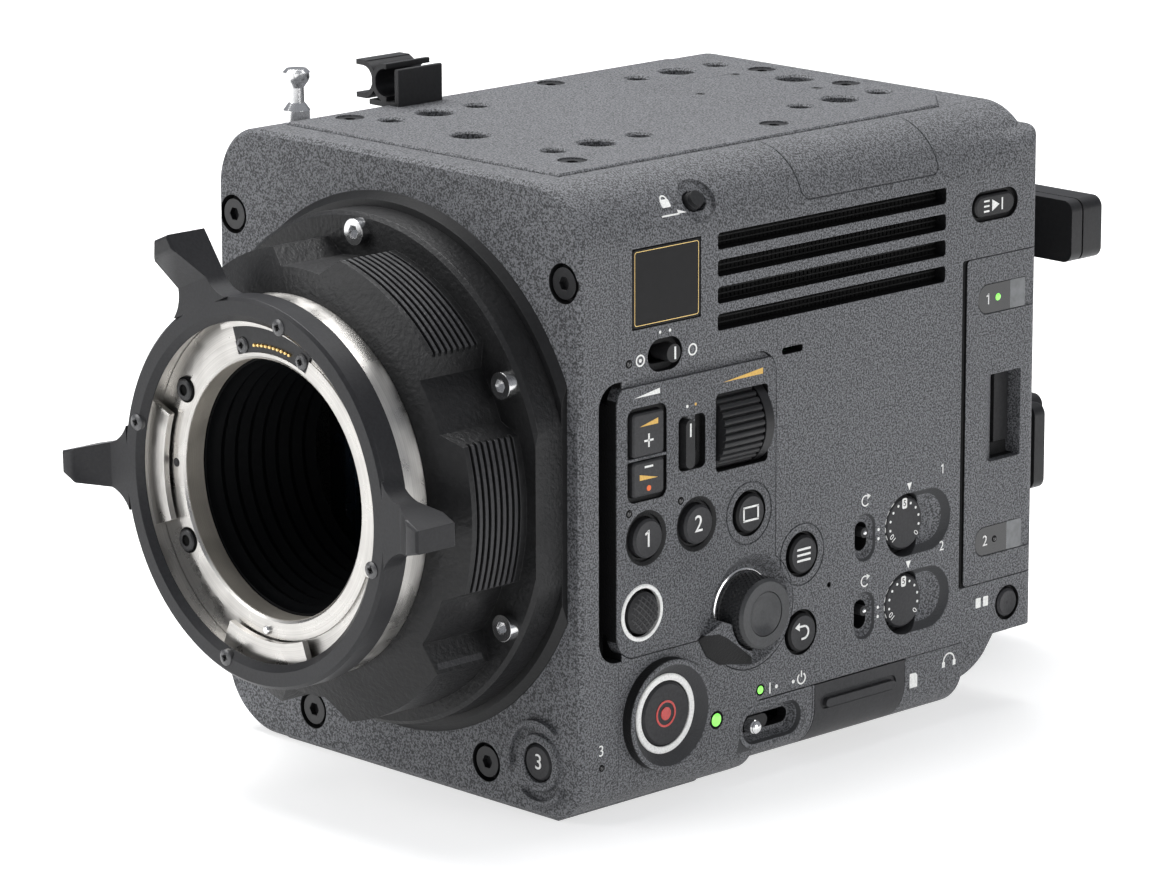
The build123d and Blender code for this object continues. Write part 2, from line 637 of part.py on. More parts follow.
def main_frame():
    """The body casting: left side, roof, floor and the open frame behind the control side."""
    split = PLATE_RIGHT + 0.3
    rear = REAR_Y - REAR_PANEL - SEAT
    left = body_solid() & block(-OUT, split, SEAM_Y - 1, rear, 0, OVER)
    right = body_solid(SKIN + 0.15) & block(split - 0.1, OUT, SEAM_Y - 1, rear, 0, OVER)
    pod = body_solid() & block(split - 0.1, OUT, POD_Y + GAP, POD_REAR, 0, POD_TOP)
    frame = left + right + pod
    frame -= cavity()
    frame -= under_rear_rise()
    window_top = BODY_TOP - ROOF - 3
    frame -= block(BODY_HALF - 11.4, OUT, SEAM_Y - 1, POD_Y - 1, BODY_LOW + SKIN, window_top)
    frame -= block(split + 0.4, OUT, POD_Y - 2, BEHIND, POD_TOP + 1.5, window_top)
    frame -= block(split + 0.4, OUT, POD_REAR, BEHIND, POD_TOP + GAP, window_top)
    frame -= prism_z(plate_outline(SEAT), PLATE_LOW - SEAT, BODY_TOP + 1)
    frame -= block(-BASE_HALF - SEAT, BASE_HALF + SEAT, SEAM_Y - 1, BASE_REAR + SEAT, -1, BASE_TOP + SEAT)
    frame -= sd_region(GAP)
    y0, y1, top = SD_FLAP
    frame -= block(BODY_HALF - 18.8, OUT, *SD_SLOT)
    frame -= rod_y(*SD_HINGE, SD_SWING_R, y0 - GAP, y1 + GAP)
    frame -= rod_y(*SD_HINGE, SD_PIN_R + RUN, y0 - 0.6, y1 + 0.9)
    frame -= lock_pocket(0.2)
    for x, y, r in BASE_HOLES:
        frame -= rod_z(x, y, r + 0.4, BASE_TOP - 1, BASE_TOP + 3)
    for x, y in TOP_SCREWS:
        frame -= rod_z(x, y, 1.5 + SEAT, PLATE_LOW - 6.5, PLATE_LOW + 1)
    frame -= rod_z(*HOOK, 1.6, HOOK_FOOT - HOOK_ROOT - 1, OVER)
    frame -= rod_z(*HOOK, 3.1, HOOK_FOOT, OVER)
    for row in range(3):
        z = 50 + row * 14
        frame -= block(-OUT, 10 - BODY_HALF, FAN[0] - 20, FAN[0] - 12, z, z + 9)
    return frame


def sd_region(grow=0.0):
    """The skin that the card flap takes out of the lower pod."""
    y0, y1, top = SD_FLAP
    skin = body_solid() - body_solid(SD_SKIN + grow)
    return skin & block(BODY_HALF - 10.86 - 3 * grow, OUT, y0 - grow, y1 + grow, 0, top + grow)


def sd_flap():
    flap = sd_region()
    y0, y1, top = SD_FLAP
    middle = (y0 + y1) / 2 - 0.5
    flap -= prism_x(slot(middle, top - 4.2, 23.4, 3.2), BODY_HALF - 0.5, BODY_HALF + 1)
    flap += prism_x(slot(middle + 0.2, top - 4.5, 21.5, 1.8), BODY_HALF - 1, BODY_HALF + 0.7)
    return flap + rod_y(*SD_HINGE, SD_PIN_R, y0 - 0.5, y1 + 0.8)


def side_blank():
    """The control-side cover before the door, the panel and the controls are cut."""
    shell = body_solid() - body_solid(SKIN)
    blank = shell & block(PLATE_RIGHT + 0.4, OUT, SEAM_Y - 1, BEHIND, 0, OVER)
    blank -= block(PLATE_RIGHT - 5, OUT, POD_Y, BEHIND, -5, POD_TOP + 0.15)
    return blank - under_rear_rise()


def button_hole(y, z, r):
    return rod_x(y, z, r + GAP, BODY_HALF - 12, BODY_HALF + 3)


def button_well(y, z, r=BUTTON_R, outer=BUTTON_WELL_R):
    """The dark gap round a button: a shallow ring pocket and the through hole."""
    return rod_x(y, z, outer, BODY_HALF - BUTTON_WELL, BODY_HALF + 1) + button_hole(y, z, r)


def ring_line(y, z):
    """A fine engraved circle round a button."""
    face = BODY_HALF
    return lathe_x(((face - 0.3, RING_LINE_R), (face + 1, RING_LINE_R), (face + 1, RING_LINE_R + SEAM_WIDTH),
                    (face - 0.3, RING_LINE_R + SEAM_WIDTH)), y, z)


def soft_bowl(y, z):
    """A shallow finger bowl round a button."""
    face = BODY_HALF
    return lathe_x(((face + 1, 0), (face + 1, BOWL_R), (face, BOWL_R), (face - 0.6, BUTTON_WELL_R),
                    (face - 0.6, 0)), y, z)


def push_button(y, z, r, proud=BUTTON_PROUD):
    """A round button with a slightly dished face."""
    x = BODY_HALF + proud
    back = BODY_HALF - BUTTON_DEPTH
    return lathe_x(((back, 0), (back, r), (x - 0.5, r), (x, r - 0.5), (x - 0.25, r * 0.45),
                    (x - 0.3, 0)), y, z)


def scoop(y, z):
    """The level dial's well, with a rounded finger scoop that runs out behind it."""
    middle = y - WELL_SHIFT
    ball = (WELL_R ** 2 + SCOOP_DEPTH ** 2) / (2 * SCOOP_DEPTH)
    x = BODY_HALF - SCOOP_DEPTH + ball
    pit = rod_x(middle, z, WELL_R, BODY_HALF - WELL_DEPTH, BODY_HALF + 1)
    pit += rod_y(x, z, ball, middle, middle + SCOOP_LONG)
    return pit + Pos(x, middle + SCOOP_LONG, z) * Sphere(ball)


def hatch_seam():
    """The fine groove of the service hatch on the shoulder."""
    y0, y1, low = SIDE_HATCH
    skin = body_solid() - body_solid(SEAM_WIDTH)
    outer = rounded(y0, y1, low, OVER, 2.3, 2.3, 0, 0)
    line = outer - rounded(y0 + SEAM_WIDTH, y1 - SEAM_WIDTH, low + SEAM_WIDTH, OVER + 1, 2.0, 2.0, 0, 0)
    return skin & prism_x(line, PLATE_RIGHT + 1, OUT)


def rec_surround():
    """The record button's raised surround."""
    face = BODY_HALF
    crest = face + REC_BEZEL_PROUD
    rim = REC_BEZEL_R
    return lathe_x(((face - 4.6, 0), (face - 4.6, rim), (crest - 0.3, rim), (crest, rim - 0.3),
                    (crest, rim - 1.0), (crest - 0.3, rim - 1.3), (face + 0.3, REC_RING_R),
                    (face + 0.3, 0)), *REC)


def side_cover():
    """Control-side casting: vents, wells, switch pockets and the door's doorway."""
    face = BODY_HALF
    cover = side_blank()
    cover += rec_surround()
    y, z = POWER
    cover += prism_x(slot(y, z, POWER_LONG + 0.6, POWER_TALL + 0.6), face - 5.2, face + 0.1)
    cover += prism_x(rounded(57.5, 94.0, 21.0, 55.8, 2, 2, 2, 2), face - 5.6, face - 1)
    cover -= prism_x(panel_outline(GAP), face - 12, face + 3)
    z0, z1 = PANEL[2:]
    for low, high in ((z0 - 2, z0 + PANEL_ROUND - GAP), (z1 - PANEL_ROUND + GAP, z1 + 2)):
        cover += block(face - CHANNEL_DEPTH - 1.6, face - 1, SEAM_Y, SEAM_Y + 1.6, low, high)
    cover -= prism_x(panel_outline(GAP), face - SKIN - GAP, face + 3)
    cover -= channel()
    cover -= button_well(*MENU)
    cover -= ring_line(*MENU)
    cover -= button_well(*BACK)
    cover -= button_well(*SLOT_SELECT, SLOT_SELECT_R, SLOT_SELECT_R + 0.75)
    for index in range(VENTS):
        low = VENT_LOW + index * VENT_PITCH
        cover -= prism_x(rounded(*VENT_SPAN, low, low + VENT_TALL, 0.8, 0.8, 0.8, 0.8), face - 5, face + 1)
    cover -= block(face - 0.5, face + 1, *BADGE)
    cover -= hatch_seam()
    cover -= block(face - 0.4, face + 1, 33.5, POD_Y, POD_TOP - 0.1, POD_TOP + 0.2)
    cover -= rod_x(*REC, REC_R + GAP, face - 12, face + 3)
    cover -= prism_x(slot(*CLIPS, CLIPS_LONG + 2.4, CLIPS_TALL + 2.0), face - 1.1, face + 1)
    cover -= prism_x(slot(*CLIPS, CLIPS_LONG + 0.4, CLIPS_TALL + 0.4), face - 6, face + 1)
    cover -= prism_x(slot(*AF_SWITCH, 9.9, 6.8), face - 1.6, face + 1)
    cover -= prism_x(slot(*AF_SWITCH, 7.8, 4.0), face - 6, face + 1)
    for place in DIALS.values():
        cover -= scoop(*place)
        cover -= rod_x(*place, 2.0 + RUN, face - 12, face + 1)
    wide, tall = AUTO_MOUTH
    slot_wide, slot_tall = AUTO_SLOT
    for y, z in AUTO_SWITCHES.values():
        cover -= dish(upright(y, z, wide, tall), upright(y, z, slot_wide + 0.4, slot_tall + 1.2), 1.5)
        cover -= prism_x(upright(y, z, slot_wide, slot_tall), face - 8, face + 1)
    y, z = POWER
    mouth = slot(y, z, POWER_LONG - 1.2, POWER_TALL - 1.2)
    cover -= dish(mouth, slot(y, z, POWER_LONG - 4.0, POWER_TALL - 3.4), POWER_DEPTH, 0.1)
    cover -= prism_x(slot(y, z, POWER_LONG - 4.4, 3.4), face - 12, face + 1)
    cover -= lock_pocket()
    cover -= prism_x(slot(42.85, 90.35, 6.3, 1.5), face - 6, face + 1)
    cover -= rod_x(54.4, 38.0, 0.6, face - 1.5, face + 1)
    corner = DOORWAY_ROUND
    cover -= prism_x(rounded(DOOR_Y, BEHIND, DOOR_LOW, DOOR_HIGH, corner, 0, 0, corner), PLATE_RIGHT - 5, OUT)
    cover -= rod_z(*HINGE, HINGE_PIN_R + 0.02, DOOR_LOW - 3, DOOR_HIGH + 3)
    return cover


def lock_plane():
    """On the rounded shoulder, square to its surface."""
    y, tilt = LOCK_SWITCH
    tilt = radians(tilt)
    x = BODY_HALF - TOP_ROUND + TOP_ROUND * cos(tilt)
    z = BODY_TOP - TOP_ROUND + TOP_ROUND * sin(tilt)
    return Plane(origin=(x, y, z), x_dir=(0, 1, 0), z_dir=(cos(tilt), 0, sin(tilt)))


def lock_pocket(grow=0.0):
    plane = lock_plane()
    dish = extrude(plane.offset(-1.0) * Circle(4.8), 4)
    return dish + extrude(plane.offset(-6) * SlotOverall(6.6 + grow, 4.4 + grow), 8)


def lock_switch():
    plane = lock_plane()
    base = extrude(plane.offset(-3.6) * (Pos(-LOCK_SHIFT, 0) * Circle(1.95)), 3.6)
    return base + extrude(plane.offset(-1.0) * (Pos(-LOCK_SHIFT, 0) * Circle(1.7)), 1.9)


def control_panel():
    """Panel with the jog dial's cup, the wheel window and the wells of its buttons and keys."""
    face = BODY_HALF
    y0, y1, z0, z1 = PANEL
    panel = prism_x(panel_outline(), face - SKIN, face)
    panel += block(face - CHANNEL_DEPTH, face - 1, y0, y0 + 2.2, z0 + PANEL_ROUND, z1 - PANEL_ROUND)
    panel += rod_x(*JOG, JOG_CUP_R + JOG_LIP, face - 5.6, face)
    panel += rod_x(*JOY, JOY_BORE_R + 2.5, face - 6.2, face - 1)
    panel -= prism_x(rounded(y0 - 2, y1 + 2, z1 - 1.5, z1 + 2, 0, 0, 0, 0), face - 0.8, face + 1)
    wy0, wy1, wz0, wz1 = WHEEL_WINDOW
    panel -= prism_x(rounded(wy0, wy1, wz0, wz1, 1, 1, 1, 1), face - 12, face + 1)
    for y in (wy0 - 1.7, wy1 + 0.2):
        panel += block(face - 10, face - SKIN + 1, y, y + 1.5, WHEEL[1] - 3.5, WHEEL[1] + 3.5)
    axle_x = face + WHEEL_PROUD - WHEEL_R
    panel -= rod_y(axle_x, WHEEL[1], 1.2 + RUN, wy0 - 3, wy1 + 3)
    panel -= rod_y(axle_x, WHEEL[1], WHEEL_R + 0.35, wy0, wy1)
    for name, place in PANEL_BUTTONS.items():
        if name == "disp_button":
            panel -= ring_line(*place)
        else:
            panel -= soft_bowl(*place)
        panel -= button_well(*place)
    panel -= ring_line(*MENU)
    panel -= button_well(*BACK)
    panel -= nd_pocket()
    for y, z, tall in ND_KEYS.values():
        half = ND_KEY_LONG / 2 + GAP
        up = tall / 2 + GAP
        panel -= prism_x(rounded(y - half, y + half, z - up, z + up, 1, 1, 1, 1), face - 12, face + 1)
    y, z = ND_SLOT
    half, up = ND_SLOT_LONG / 2, ND_SLOT_TALL / 2
    panel -= prism_x(rounded(y - half, y + half, z - up, z + up, 1.4, 1.4, 1.4, 1.4), face - 1.8, face + 1)
    panel -= prism_x(rounded(y - half + 0.8, y + half - 0.8, z - 3, z + 3, 1, 1, 1, 1), face - 8, face + 1)
    floor = face - JOG_CUP_DEPTH
    panel -= lathe_x(((floor, 0), (floor, 9.2), (face, JOG_CUP_R), (face + 1, JOG_CUP_R), (face + 1, 0)), *JOG)
    panel += jog_guard()
    panel -= rod_x(*JOG, 3.2 + RUN, face - 12, face + 1)
    panel -= rod_x(*JOY, JOY_R + 0.7, face - 3.0, face + 1)
    panel -= rod_x(*JOY, JOY_BORE_R, face - 9, face + 1)
    y, z = JOY
    return panel - rod_y(JOY_PIVOT, z, JOY_PIN_R + RUN, y - JOY_BORE_R - 0.8, y + JOY_BORE_R + 0.8)


def nd_pocket():
    """The shallow pocket that two keys share, with a bar left between them."""
    places = list(ND_KEYS.values())
    half = ND_KEY_LONG / 2 + ND_BORDER
    y = places[0][0]
    high = places[0][1] + places[0][2] / 2 + ND_BORDER
    low = places[1][1] - places[1][2] / 2 - ND_BORDER
    bar = (places[0][1] - places[0][2] / 2 + places[1][1] + places[1][2] / 2) / 2
    pocket = prism_x(rounded(y - half, y + half, low, high, 2, 2, 2, 2), BODY_HALF - ND_POCKET, BODY_HALF + 1)
    return pocket - block(BODY_HALF - 2, BODY_HALF - 0.1, y - half, y + half, bar - 0.28, bar + 0.28)


def jog_guard():
    """Raised wall that shields the jog dial below and in front."""
    face = BODY_HALF
    foot = make_face(Polyline(*GUARD_FOOT, close=True))
    low = Plane(origin=(face, 0, 0), x_dir=(0, 1, 0), z_dir=(1, 0, 0))
    high = low.offset(GUARD_HIGH)
    guard = loft([low * foot, high * make_face(Polyline(*GUARD_CREST, close=True))])
    base = foot & Pos(*JOG) * Circle(JOG_CUP_R + 0.2)
    guard += prism_x(base, face - JOG_CUP_DEPTH - 0.1, face + 0.01)
    return guard - rod_x(*JOG, GUARD_R, face - JOG_CUP_DEPTH - 1, face + 5)


def nd_key(y, z, tall):
    half = ND_KEY_LONG / 2
    key = prism_x(rounded(y - half, y + half, z - tall / 2, z + tall / 2, 0.8, 0.8, 0.8, 0.8),
                  BODY_HALF - BUTTON_DEPTH, BODY_HALF + 0.5)
    return chamfer(key.faces().sort_by(Axis.X)[-1].edges(), 0.35)


def nd_switch():
    y, z = ND_SLOT
    y -= ND_BAR_SHIFT
    bar = prism_x(upright(y, z, ND_BAR, ND_SLOT_TALL - 1.2), BODY_HALF - 1.5, BODY_HALF + 1.0)
    return bar + block(BODY_HALF - 4.5, BODY_HALF - 1.2, y - 1.0, y + 1.0, z - 2.6, z + 2.6)


def nd_wheel():
    """Finely ribbed thumb wheel with a plain rim at its rear."""
    wy0, wy1 = WHEEL_WINDOW[0] + 0.5, WHEEL_WINDOW[1] - 0.5
    rim = wy1 - 2.4
    x, z = BODY_HALF + WHEEL_PROUD - WHEEL_R, WHEEL[1]
    valley = WHEEL_R - WHEEL_RIB_DEEP
    middle = WHEEL_R - 0.2 * WHEEL_RIB_DEEP
    edge = []
    for step in range(WHEEL_RIBS):
        for part, r in ((0.0, valley), (0.2, middle), (0.36, WHEEL_R), (0.64, WHEEL_R), (0.8, middle)):
            angle = radians(360 * (step + part) / WHEEL_RIBS)
            edge.append((x + r * cos(angle), z + r * sin(angle)))
    wheel = prism_y(make_face(Polyline(*edge, close=True)), wy0, rim - 0.4)
    wheel += rod_y(x, z, valley - 0.3, rim - 0.5, rim + 0.1) + rod_y(x, z, WHEEL_R, rim, wy1)
    return wheel + rod_y(x, z, 1.2, wy0 - 2.1, wy1 + 2.1)


def joystick_gimbal():
    """Ring that tilts on two trunnions in the panel's boss."""
    y, z = JOY
    ring = rod_x(y, z, JOY_BORE_R - 0.3, JOY_PIVOT - 0.6, JOY_PIVOT + 0.6)
    ring += rod_y(JOY_PIVOT, z, JOY_PIN_R, y - JOY_BORE_R - 0.5, y + JOY_BORE_R + 0.5)
    ring -= rod_x(y, z, 2.3, JOY_PIVOT - 1, JOY_PIVOT + 1)
    return ring - rod_z(JOY_PIVOT, y, JOY_PIN_R + RUN, z - 5, z + 5)


def joystick():
    """Domed cap on a stem, with the pin it tilts on."""
    y, z = JOY
    x = BODY_HALF
    stick = lathe_x(((x - 6.0, 0), (x - 6.0, 1.2), (x - 2.2, 1.2), (x - 2.2, 3.3), (x - 0.4, JOY_R),
                     (x + 0.3, JOY_R - 0.1), (x + 1.2, JOY_R - 1.3), (x + 1.7, 1.4), (x + 1.8, 0)), y, z)
    return stick + rod_z(JOY_PIVOT, y, JOY_PIN_R, z - 3.3, z + 3.3)


def jog_dial():
    """Knurled ring of the jog dial, on a hollow spindle."""
    y, z = JOG
    top = BODY_HALF + JOG_PROUD
    low = BODY_HALF - JOG_CUP_DEPTH + 0.3
    back = BODY_HALF - 6.4
    ring = lathe_x(((back, 1.7), (back, 3.2), (low, 3.2), (low, JOG_R), (top - 0.7, JOG_R), (top, JOG_R - 0.6),
                    (top - 0.1, 4.75), (low + 1.5, 4.75), (low + 1.5, 1.7)), y, z)
    return ring


def jog_button():
    """Dished centre of the jog dial, pressed to select."""
    y, z = JOG
    top = BODY_HALF + JOG_PROUD
    low = BODY_HALF - JOG_CUP_DEPTH + 0.3
    return lathe_x(((BODY_HALF - 7.0, 0), (BODY_HALF - 7.0, 1.6), (low + 2.8, 1.6), (low + 2.8, 4.6),
                    (top - 0.2, 4.6), (top - 1.0, 3.0), (top - 1.3, 0)), y, z)


def level_dial(y, z):
    """Flat notched dial, sunk in its well, on its spindle."""
    x = BODY_HALF - DIAL_LOW
    low = x - DIAL_THICK
    dial = lathe_x(((low, 0), (low, DIAL_R), (x - 0.6, DIAL_R), (x, DIAL_R - 0.6), (x, 0)), y, z)
    for step in range(24):
        angle = radians(15 * step)
        dial -= rod_x(y + (DIAL_R + 0.2) * cos(angle), z + (DIAL_R + 0.2) * sin(angle), 0.4, low - 1, x + 1)
    return dial + rod_x(y, z, 2.0, x - 5.4, low)


def af_switch():
    y, z = AF_SWITCH
    return rod_x(y + AF_SHIFT, z, 1.9, BODY_HALF - 4.2, BODY_HALF + 0.7)


def auto_switch(y, z):
    return rod_x(y, z + AUTO_SHIFT, 1.1, BODY_HALF - 5.0, BODY_HALF - 0.2)


def power_switch():
    """Slider plate with its bright pin."""
    y, z = POWER
    y -= POWER_SHIFT
    plate = prism_x(slot(y, z, 7.6, 3.0), BODY_HALF - 5.2, BODY_HALF - 2.4)
    return plate + rod_x(y - 2.3, z, 1.4, BODY_HALF - 3, BODY_HALF + 0.6)


def clips_button():
    key = prism_x(slot(*CLIPS, CLIPS_LONG, CLIPS_TALL), BODY_HALF - BUTTON_DEPTH, BODY_HALF + 0.1)
    return chamfer(key.faces().sort_by(Axis.X)[-1].edges(), 0.4)


def button_3():
    x, z = BUTTON_3
    r = BUTTON_R - 0.1 - GAP
    y = FRONT_Y - 0.7
    return lathe_y(((0, y + 0.3), (r * 0.5, y + 0.2), (r - 0.5, y), (r, y + 0.5), (r, y + 5.2),
                    (0, y + 5.2)), x, z)


def media_door():
    """Door that wraps the rear corner, with its hinge edge, finger grip and lamp windows."""
    x, y = HINGE
    low, high = DOOR_LOW + GAP, DOOR_HIGH - GAP
    door = side_blank() & prism_x(rounded(DOOR_EDGE, BEHIND, low, high, 1.0, 0, 0, 1.0), PLATE_RIGHT - 5, OUT)
    door += rod_z(x, y, HINGE_KNUCKLE_R, low, high) & block(x - 2, BODY_HALF, y - 2, y + 1, 0, OVER)
    y0, y1, z0, z1 = GRIP
    door += block(BODY_HALF - 5.8, BODY_HALF - 1, y0 - 1.2, REAR_Y - SKIN + 0.1, z0 - 1.2, z1 + 1.2)
    floor = BODY_HALF - GRIP_DEPTH
    slope = make_face(Polyline((BODY_HALF, y0), (BODY_HALF - 2.2, GRIP_STEP), (floor, GRIP_STEP), (floor, y1),
                               (BODY_HALF + 1, y1), (BODY_HALF + 1, y0), close=True))
    door -= prism_z(slope, z0, z1) & prism_x(rounded(y0, y1, z0, z1, 2.0, 0.5, 0.5, 2.0), floor - 1, OUT)
    door -= prism_x(rounded(GRIP_STEP + 0.2, y1 - 0.1, z0 + 2.8, z1 - 1.0, 0.3, 0.3, 0.3, 0.3),
                    BODY_HALF - 8, BODY_HALF - 2)
    half = WINDOW_TALL / 2
    for z in WINDOWS:
        window = rounded(WINDOW_Y, BEHIND, z - half, z + half, 2.8, 0, 0, 2.8)
        door -= prism_x(window, BODY_HALF - 0.5, OUT)
    return door - rod_z(x, y, HINGE_PIN_R + RUN, 0, OVER)


def door_latch():
    """Sliding catch at the rear of the finger grip."""
    y0, y1, z0, z1 = GRIP
    rear = y1 - 0.3
    return block(BODY_HALF - 5.4, BODY_HALF - 3.4, rear - LATCH_LONG, rear, z0 + 3.0, z1 - 1.2)


def door_hinge_pin():
    return rod_z(*HINGE, HINGE_PIN_R, DOOR_LOW - 2.8, DOOR_HIGH + 2.8)


def card_bay():
    """Holder of the two card slots behind the door."""
    face = BODY_HALF - SKIN - 3.6
    rear = REAR_Y - SKIN - 0.5
    bay = block(PLATE_RIGHT - 4.5, face, 97.5, rear, DOOR_LOW + 1.8, DOOR_HIGH - 1.8)
    bay -= block(PLATE_RIGHT - 10, PLATE_RIGHT + 0.9, REAR_Y - REAR_PANEL - REAR_WALL - 0.3, BEHIND, 0, OVER)
    for z in (48.5, 81.9):
        bay -= block(face - 9, face + 1, 103.2, 107.1, z - 15.0, z + 15.0)
    return bay


def top_holes():
    """Large threads in two rows and at both ends, with small ones beside each row."""
    holes = [(HOLE_MIDDLE, y, THREAD_LARGE_R) for y in END_HOLES]
    for side in (-1, 1):
        x = HOLE_MIDDLE + side * HOLE_SPREAD
        for row in HOLE_ROWS:
            holes.append((x, row, THREAD_LARGE_R))
            holes.append((x, row - HOLE_STEP, THREAD_SMALL_R))
            holes.append((x, row + HOLE_STEP, THREAD_SMALL_R))
    return holes


def top_plate():
    """Mounting plate with its pattern of large and small threads."""
    plate = prism_z(plate_outline(), PLATE_LOW, PLATE_TOP)
    plate = chamfer(plate.faces().sort_by(Axis.Z)[-1].edges(), 0.4)
    for x, y, r in top_holes():
        plate -= rod_z(x, y, r, PLATE_LOW - 1, PLATE_TOP + 1)
        sink = PLATE_TOP - COUNTERSINK
        mouth = r + COUNTERSINK
        plate -= lathe_z(((0, sink), (r, sink), (mouth, PLATE_TOP), (mouth, OVER), (0, OVER)), x, y)
    for x, y in TOP_SCREWS:
        plate -= rod_z(x, y, 1.5 + SEAT, PLATE_LOW - 1, PLATE_TOP + 1)
        plate -= rod_z(x, y, 3.1, PLATE_TOP - 2.0, PLATE_TOP + 1)
    x0, x1, y0, y1 = HATCH
    plate -= prism_z(rounded(x0 - 0.1, x1 + 0.1, y0 - 0.1, y1 + 0.1, 1.5, 1.5, 1.5, 1.5),
                     PLATE_TOP - HATCH_THICK - 0.1, PLATE_TOP + 1)
    y0, y1 = CLAMP_Y
    return plate - block(PLATE_LEFT - 1, CLAMP_NOTCH, y0 - GAP, y1 + GAP, BODY_TOP, PLATE_TOP + 1)


def top_hatch():
    x0, x1, y0, y1 = HATCH
    return prism_z(rounded(x0, x1, y0, y1, 1.4, 1.4, 1.4, 1.4), PLATE_TOP - HATCH_THICK, PLATE_TOP)


def housing_screws():
    """Four front-plate screws and six top-plate screws."""
    screws = []
    for x, z in SCREW_FRONT:
        screw = socket_screw(SCREW_HEAD_R, 2.3, 1.5, 1.6, 7.6)
        screws.append(Pos(x, FRONT_Y + 2.6, z) * Rot(90, 0, 0) * screw)
    for x, y in TOP_SCREWS:
        screws.append(Pos(x, y, PLATE_TOP - 2.0) * socket_screw(2.9, 1.7, 1.3, 1.5, 6.0))
    return Compound(children=screws)


def base_plate():
    """Foot of the camera, with the tripod threads; its thin front edge reaches under the front plate."""
    apron = block(BASE_LEFT, BASE_RIGHT, FRONT_Y + 1.5, BASE_STEP_Y, 0, FRONT_LOW)
    plate = block(-BASE_HALF, BASE_HALF, SEAM_Y, BASE_REAR, 0, BASE_TOP) + apron
    plate = chamfer(plate.faces().sort_by(Axis.Z)[0].edges(), 0.3)
    for x, y, r in BASE_HOLES:
        plate -= rod_z(x, y, r, -1, BASE_TOP + 1)
    return plate


def rear_plate():
    """Rear panel, wrapped round the far corner."""
    plate = body_solid() & block(-OUT, PLATE_RIGHT + 0.25, REAR_Y - REAR_PANEL, BEHIND, REAR_RISE_Z, OVER)
    return plate - prism_z(plate_outline(SEAT), PLATE_LOW - SEAT, BODY_TOP + 1)


def battery_layer(half, low_half, spine, shrink, y0, y1):
    """One layer of the battery plate: wide ears above, narrow ears below and the spine between."""
    low0, low1 = LOW_EAR
    ears = Pos(0, (EAR_LOW + BATTERY_HIGH) / 2) * RectangleRounded(
        2 * (half - shrink), BATTERY_HIGH - EAR_LOW - 2 * shrink, 2.5 - shrink)
    low_ears = Pos(0, (low0 + low1) / 2) * RectangleRounded(
        2 * (low_half - shrink), low1 - low0 - 2 * shrink, 2.5 - shrink)
    bar = Pos(0, (BATTERY_LOW + BATTERY_HIGH) / 2) * Rectangle(
        2 * (spine - shrink), BATTERY_HIGH - BATTERY_LOW - 2 * shrink)
    return prism_y(ears + low_ears + bar, y0, y1)


def battery_plate():
    """Wedge-lock battery plate in two layers on its stand-off box."""
    stand = REAR_Y + BATTERY_STAND
    back = stand + BATTERY_PLATE
    low, high = BATTERY_LOW + 4, BATTERY_HIGH - 2
    box = block(-BATTERY_HALF, BATTERY_HALF, REAR_Y, stand + 1, low, high)
    box -= block(3 - BATTERY_HALF, BATTERY_HALF - 5.5, REAR_Y - 1, stand - 3, low + 4, high - 4)
    split = stand + BATTERY_LAYER
    plate = box + battery_layer(EAR_HALF, LOW_EAR_HALF[0], SPINE[0], 0, stand, split)
    plate += battery_layer(EAR_HALF, LOW_EAR_HALF[1], SPINE[1], 0.6, split - 0.1, split + BATTERY_LINE)
    plate += battery_layer(EAR_HALF, LOW_EAR_HALF[1], SPINE[1], 0, split + BATTERY_LINE, back)
    wide = Plane(origin=(0, back - WEDGE_DEPTH, 0), x_dir=(1, 0, 0), z_dir=(0, -1, 0))
    narrow = Plane(origin=(0, back + 0.5, 0), x_dir=(1, 0, 0), z_dir=(0, -1, 0))
    low, high = WEDGE
    mouths = []
    for plane, less in ((wide, 0), (narrow, WEDGE_DRAFT)):
        shape = Polyline((less - low, LOW_EAR[0] - 0.5), (low - less, LOW_EAR[0] - 0.5),
                         (high - less, BATTERY_HIGH + 6), (less - high, BATTERY_HIGH + 6), close=True)
        mouths.append(plane * make_face(shape))
    plate -= loft(mouths)
    plate += block(-5, 5, back - WEDGE_DEPTH - 0.1, back - 1.6, 52, 58)
    y, z = RELEASE
    return plate - rod_x(y, z, RELEASE_R + GAP, BATTERY_HALF - 4.6, BATTERY_HALF + 1)


def battery_release():
    y, z = RELEASE
    return rod_x(y, z, RELEASE_R, BATTERY_HALF - 2.6, BATTERY_HALF + 1.4)


def rear_connectors():
    """Four video sockets with bayonet pins and the power inlet."""
    pieces = []
    for z in BNC_Z:
        socket = lathe_y(((0, REAR_Y), (6.4, REAR_Y), (6.4, REAR_Y + 1.6), (4.85, REAR_Y + 1.6),
                          (4.85, REAR_Y + 11.0), (3.9, REAR_Y + 11.0), (3.9, REAR_Y + 4.0), (1.0, REAR_Y + 4.0),
                          (1.0, REAR_Y + 9.0), (0, REAR_Y + 9.0)), BNC_X, z)
        socket += rod_x(REAR_Y + 7.5, z, 0.9, BNC_X - 5.7, BNC_X - 4.5)
        socket += rod_x(REAR_Y + 7.5, z, 0.9, BNC_X + 4.5, BNC_X + 5.7)
        pieces.append(socket)
    x, z = DC_SOCKET
    inlet = lathe_y(((0, REAR_Y), (9.8, REAR_Y), (9.8, REAR_Y + 7.0), (8.3, REAR_Y + 7.0), (8.3, REAR_Y + 1.6),
                     (0, REAR_Y + 1.6)), x, z)
    for step in range(4):
        angle = radians(45 + 90 * step)
        inlet += rod_y(x + 4 * cos(angle), z + 4 * sin(angle), 1.0, REAR_Y + 1, REAR_Y + 6)
    pieces.append(inlet)
    return Compound(children=pieces)


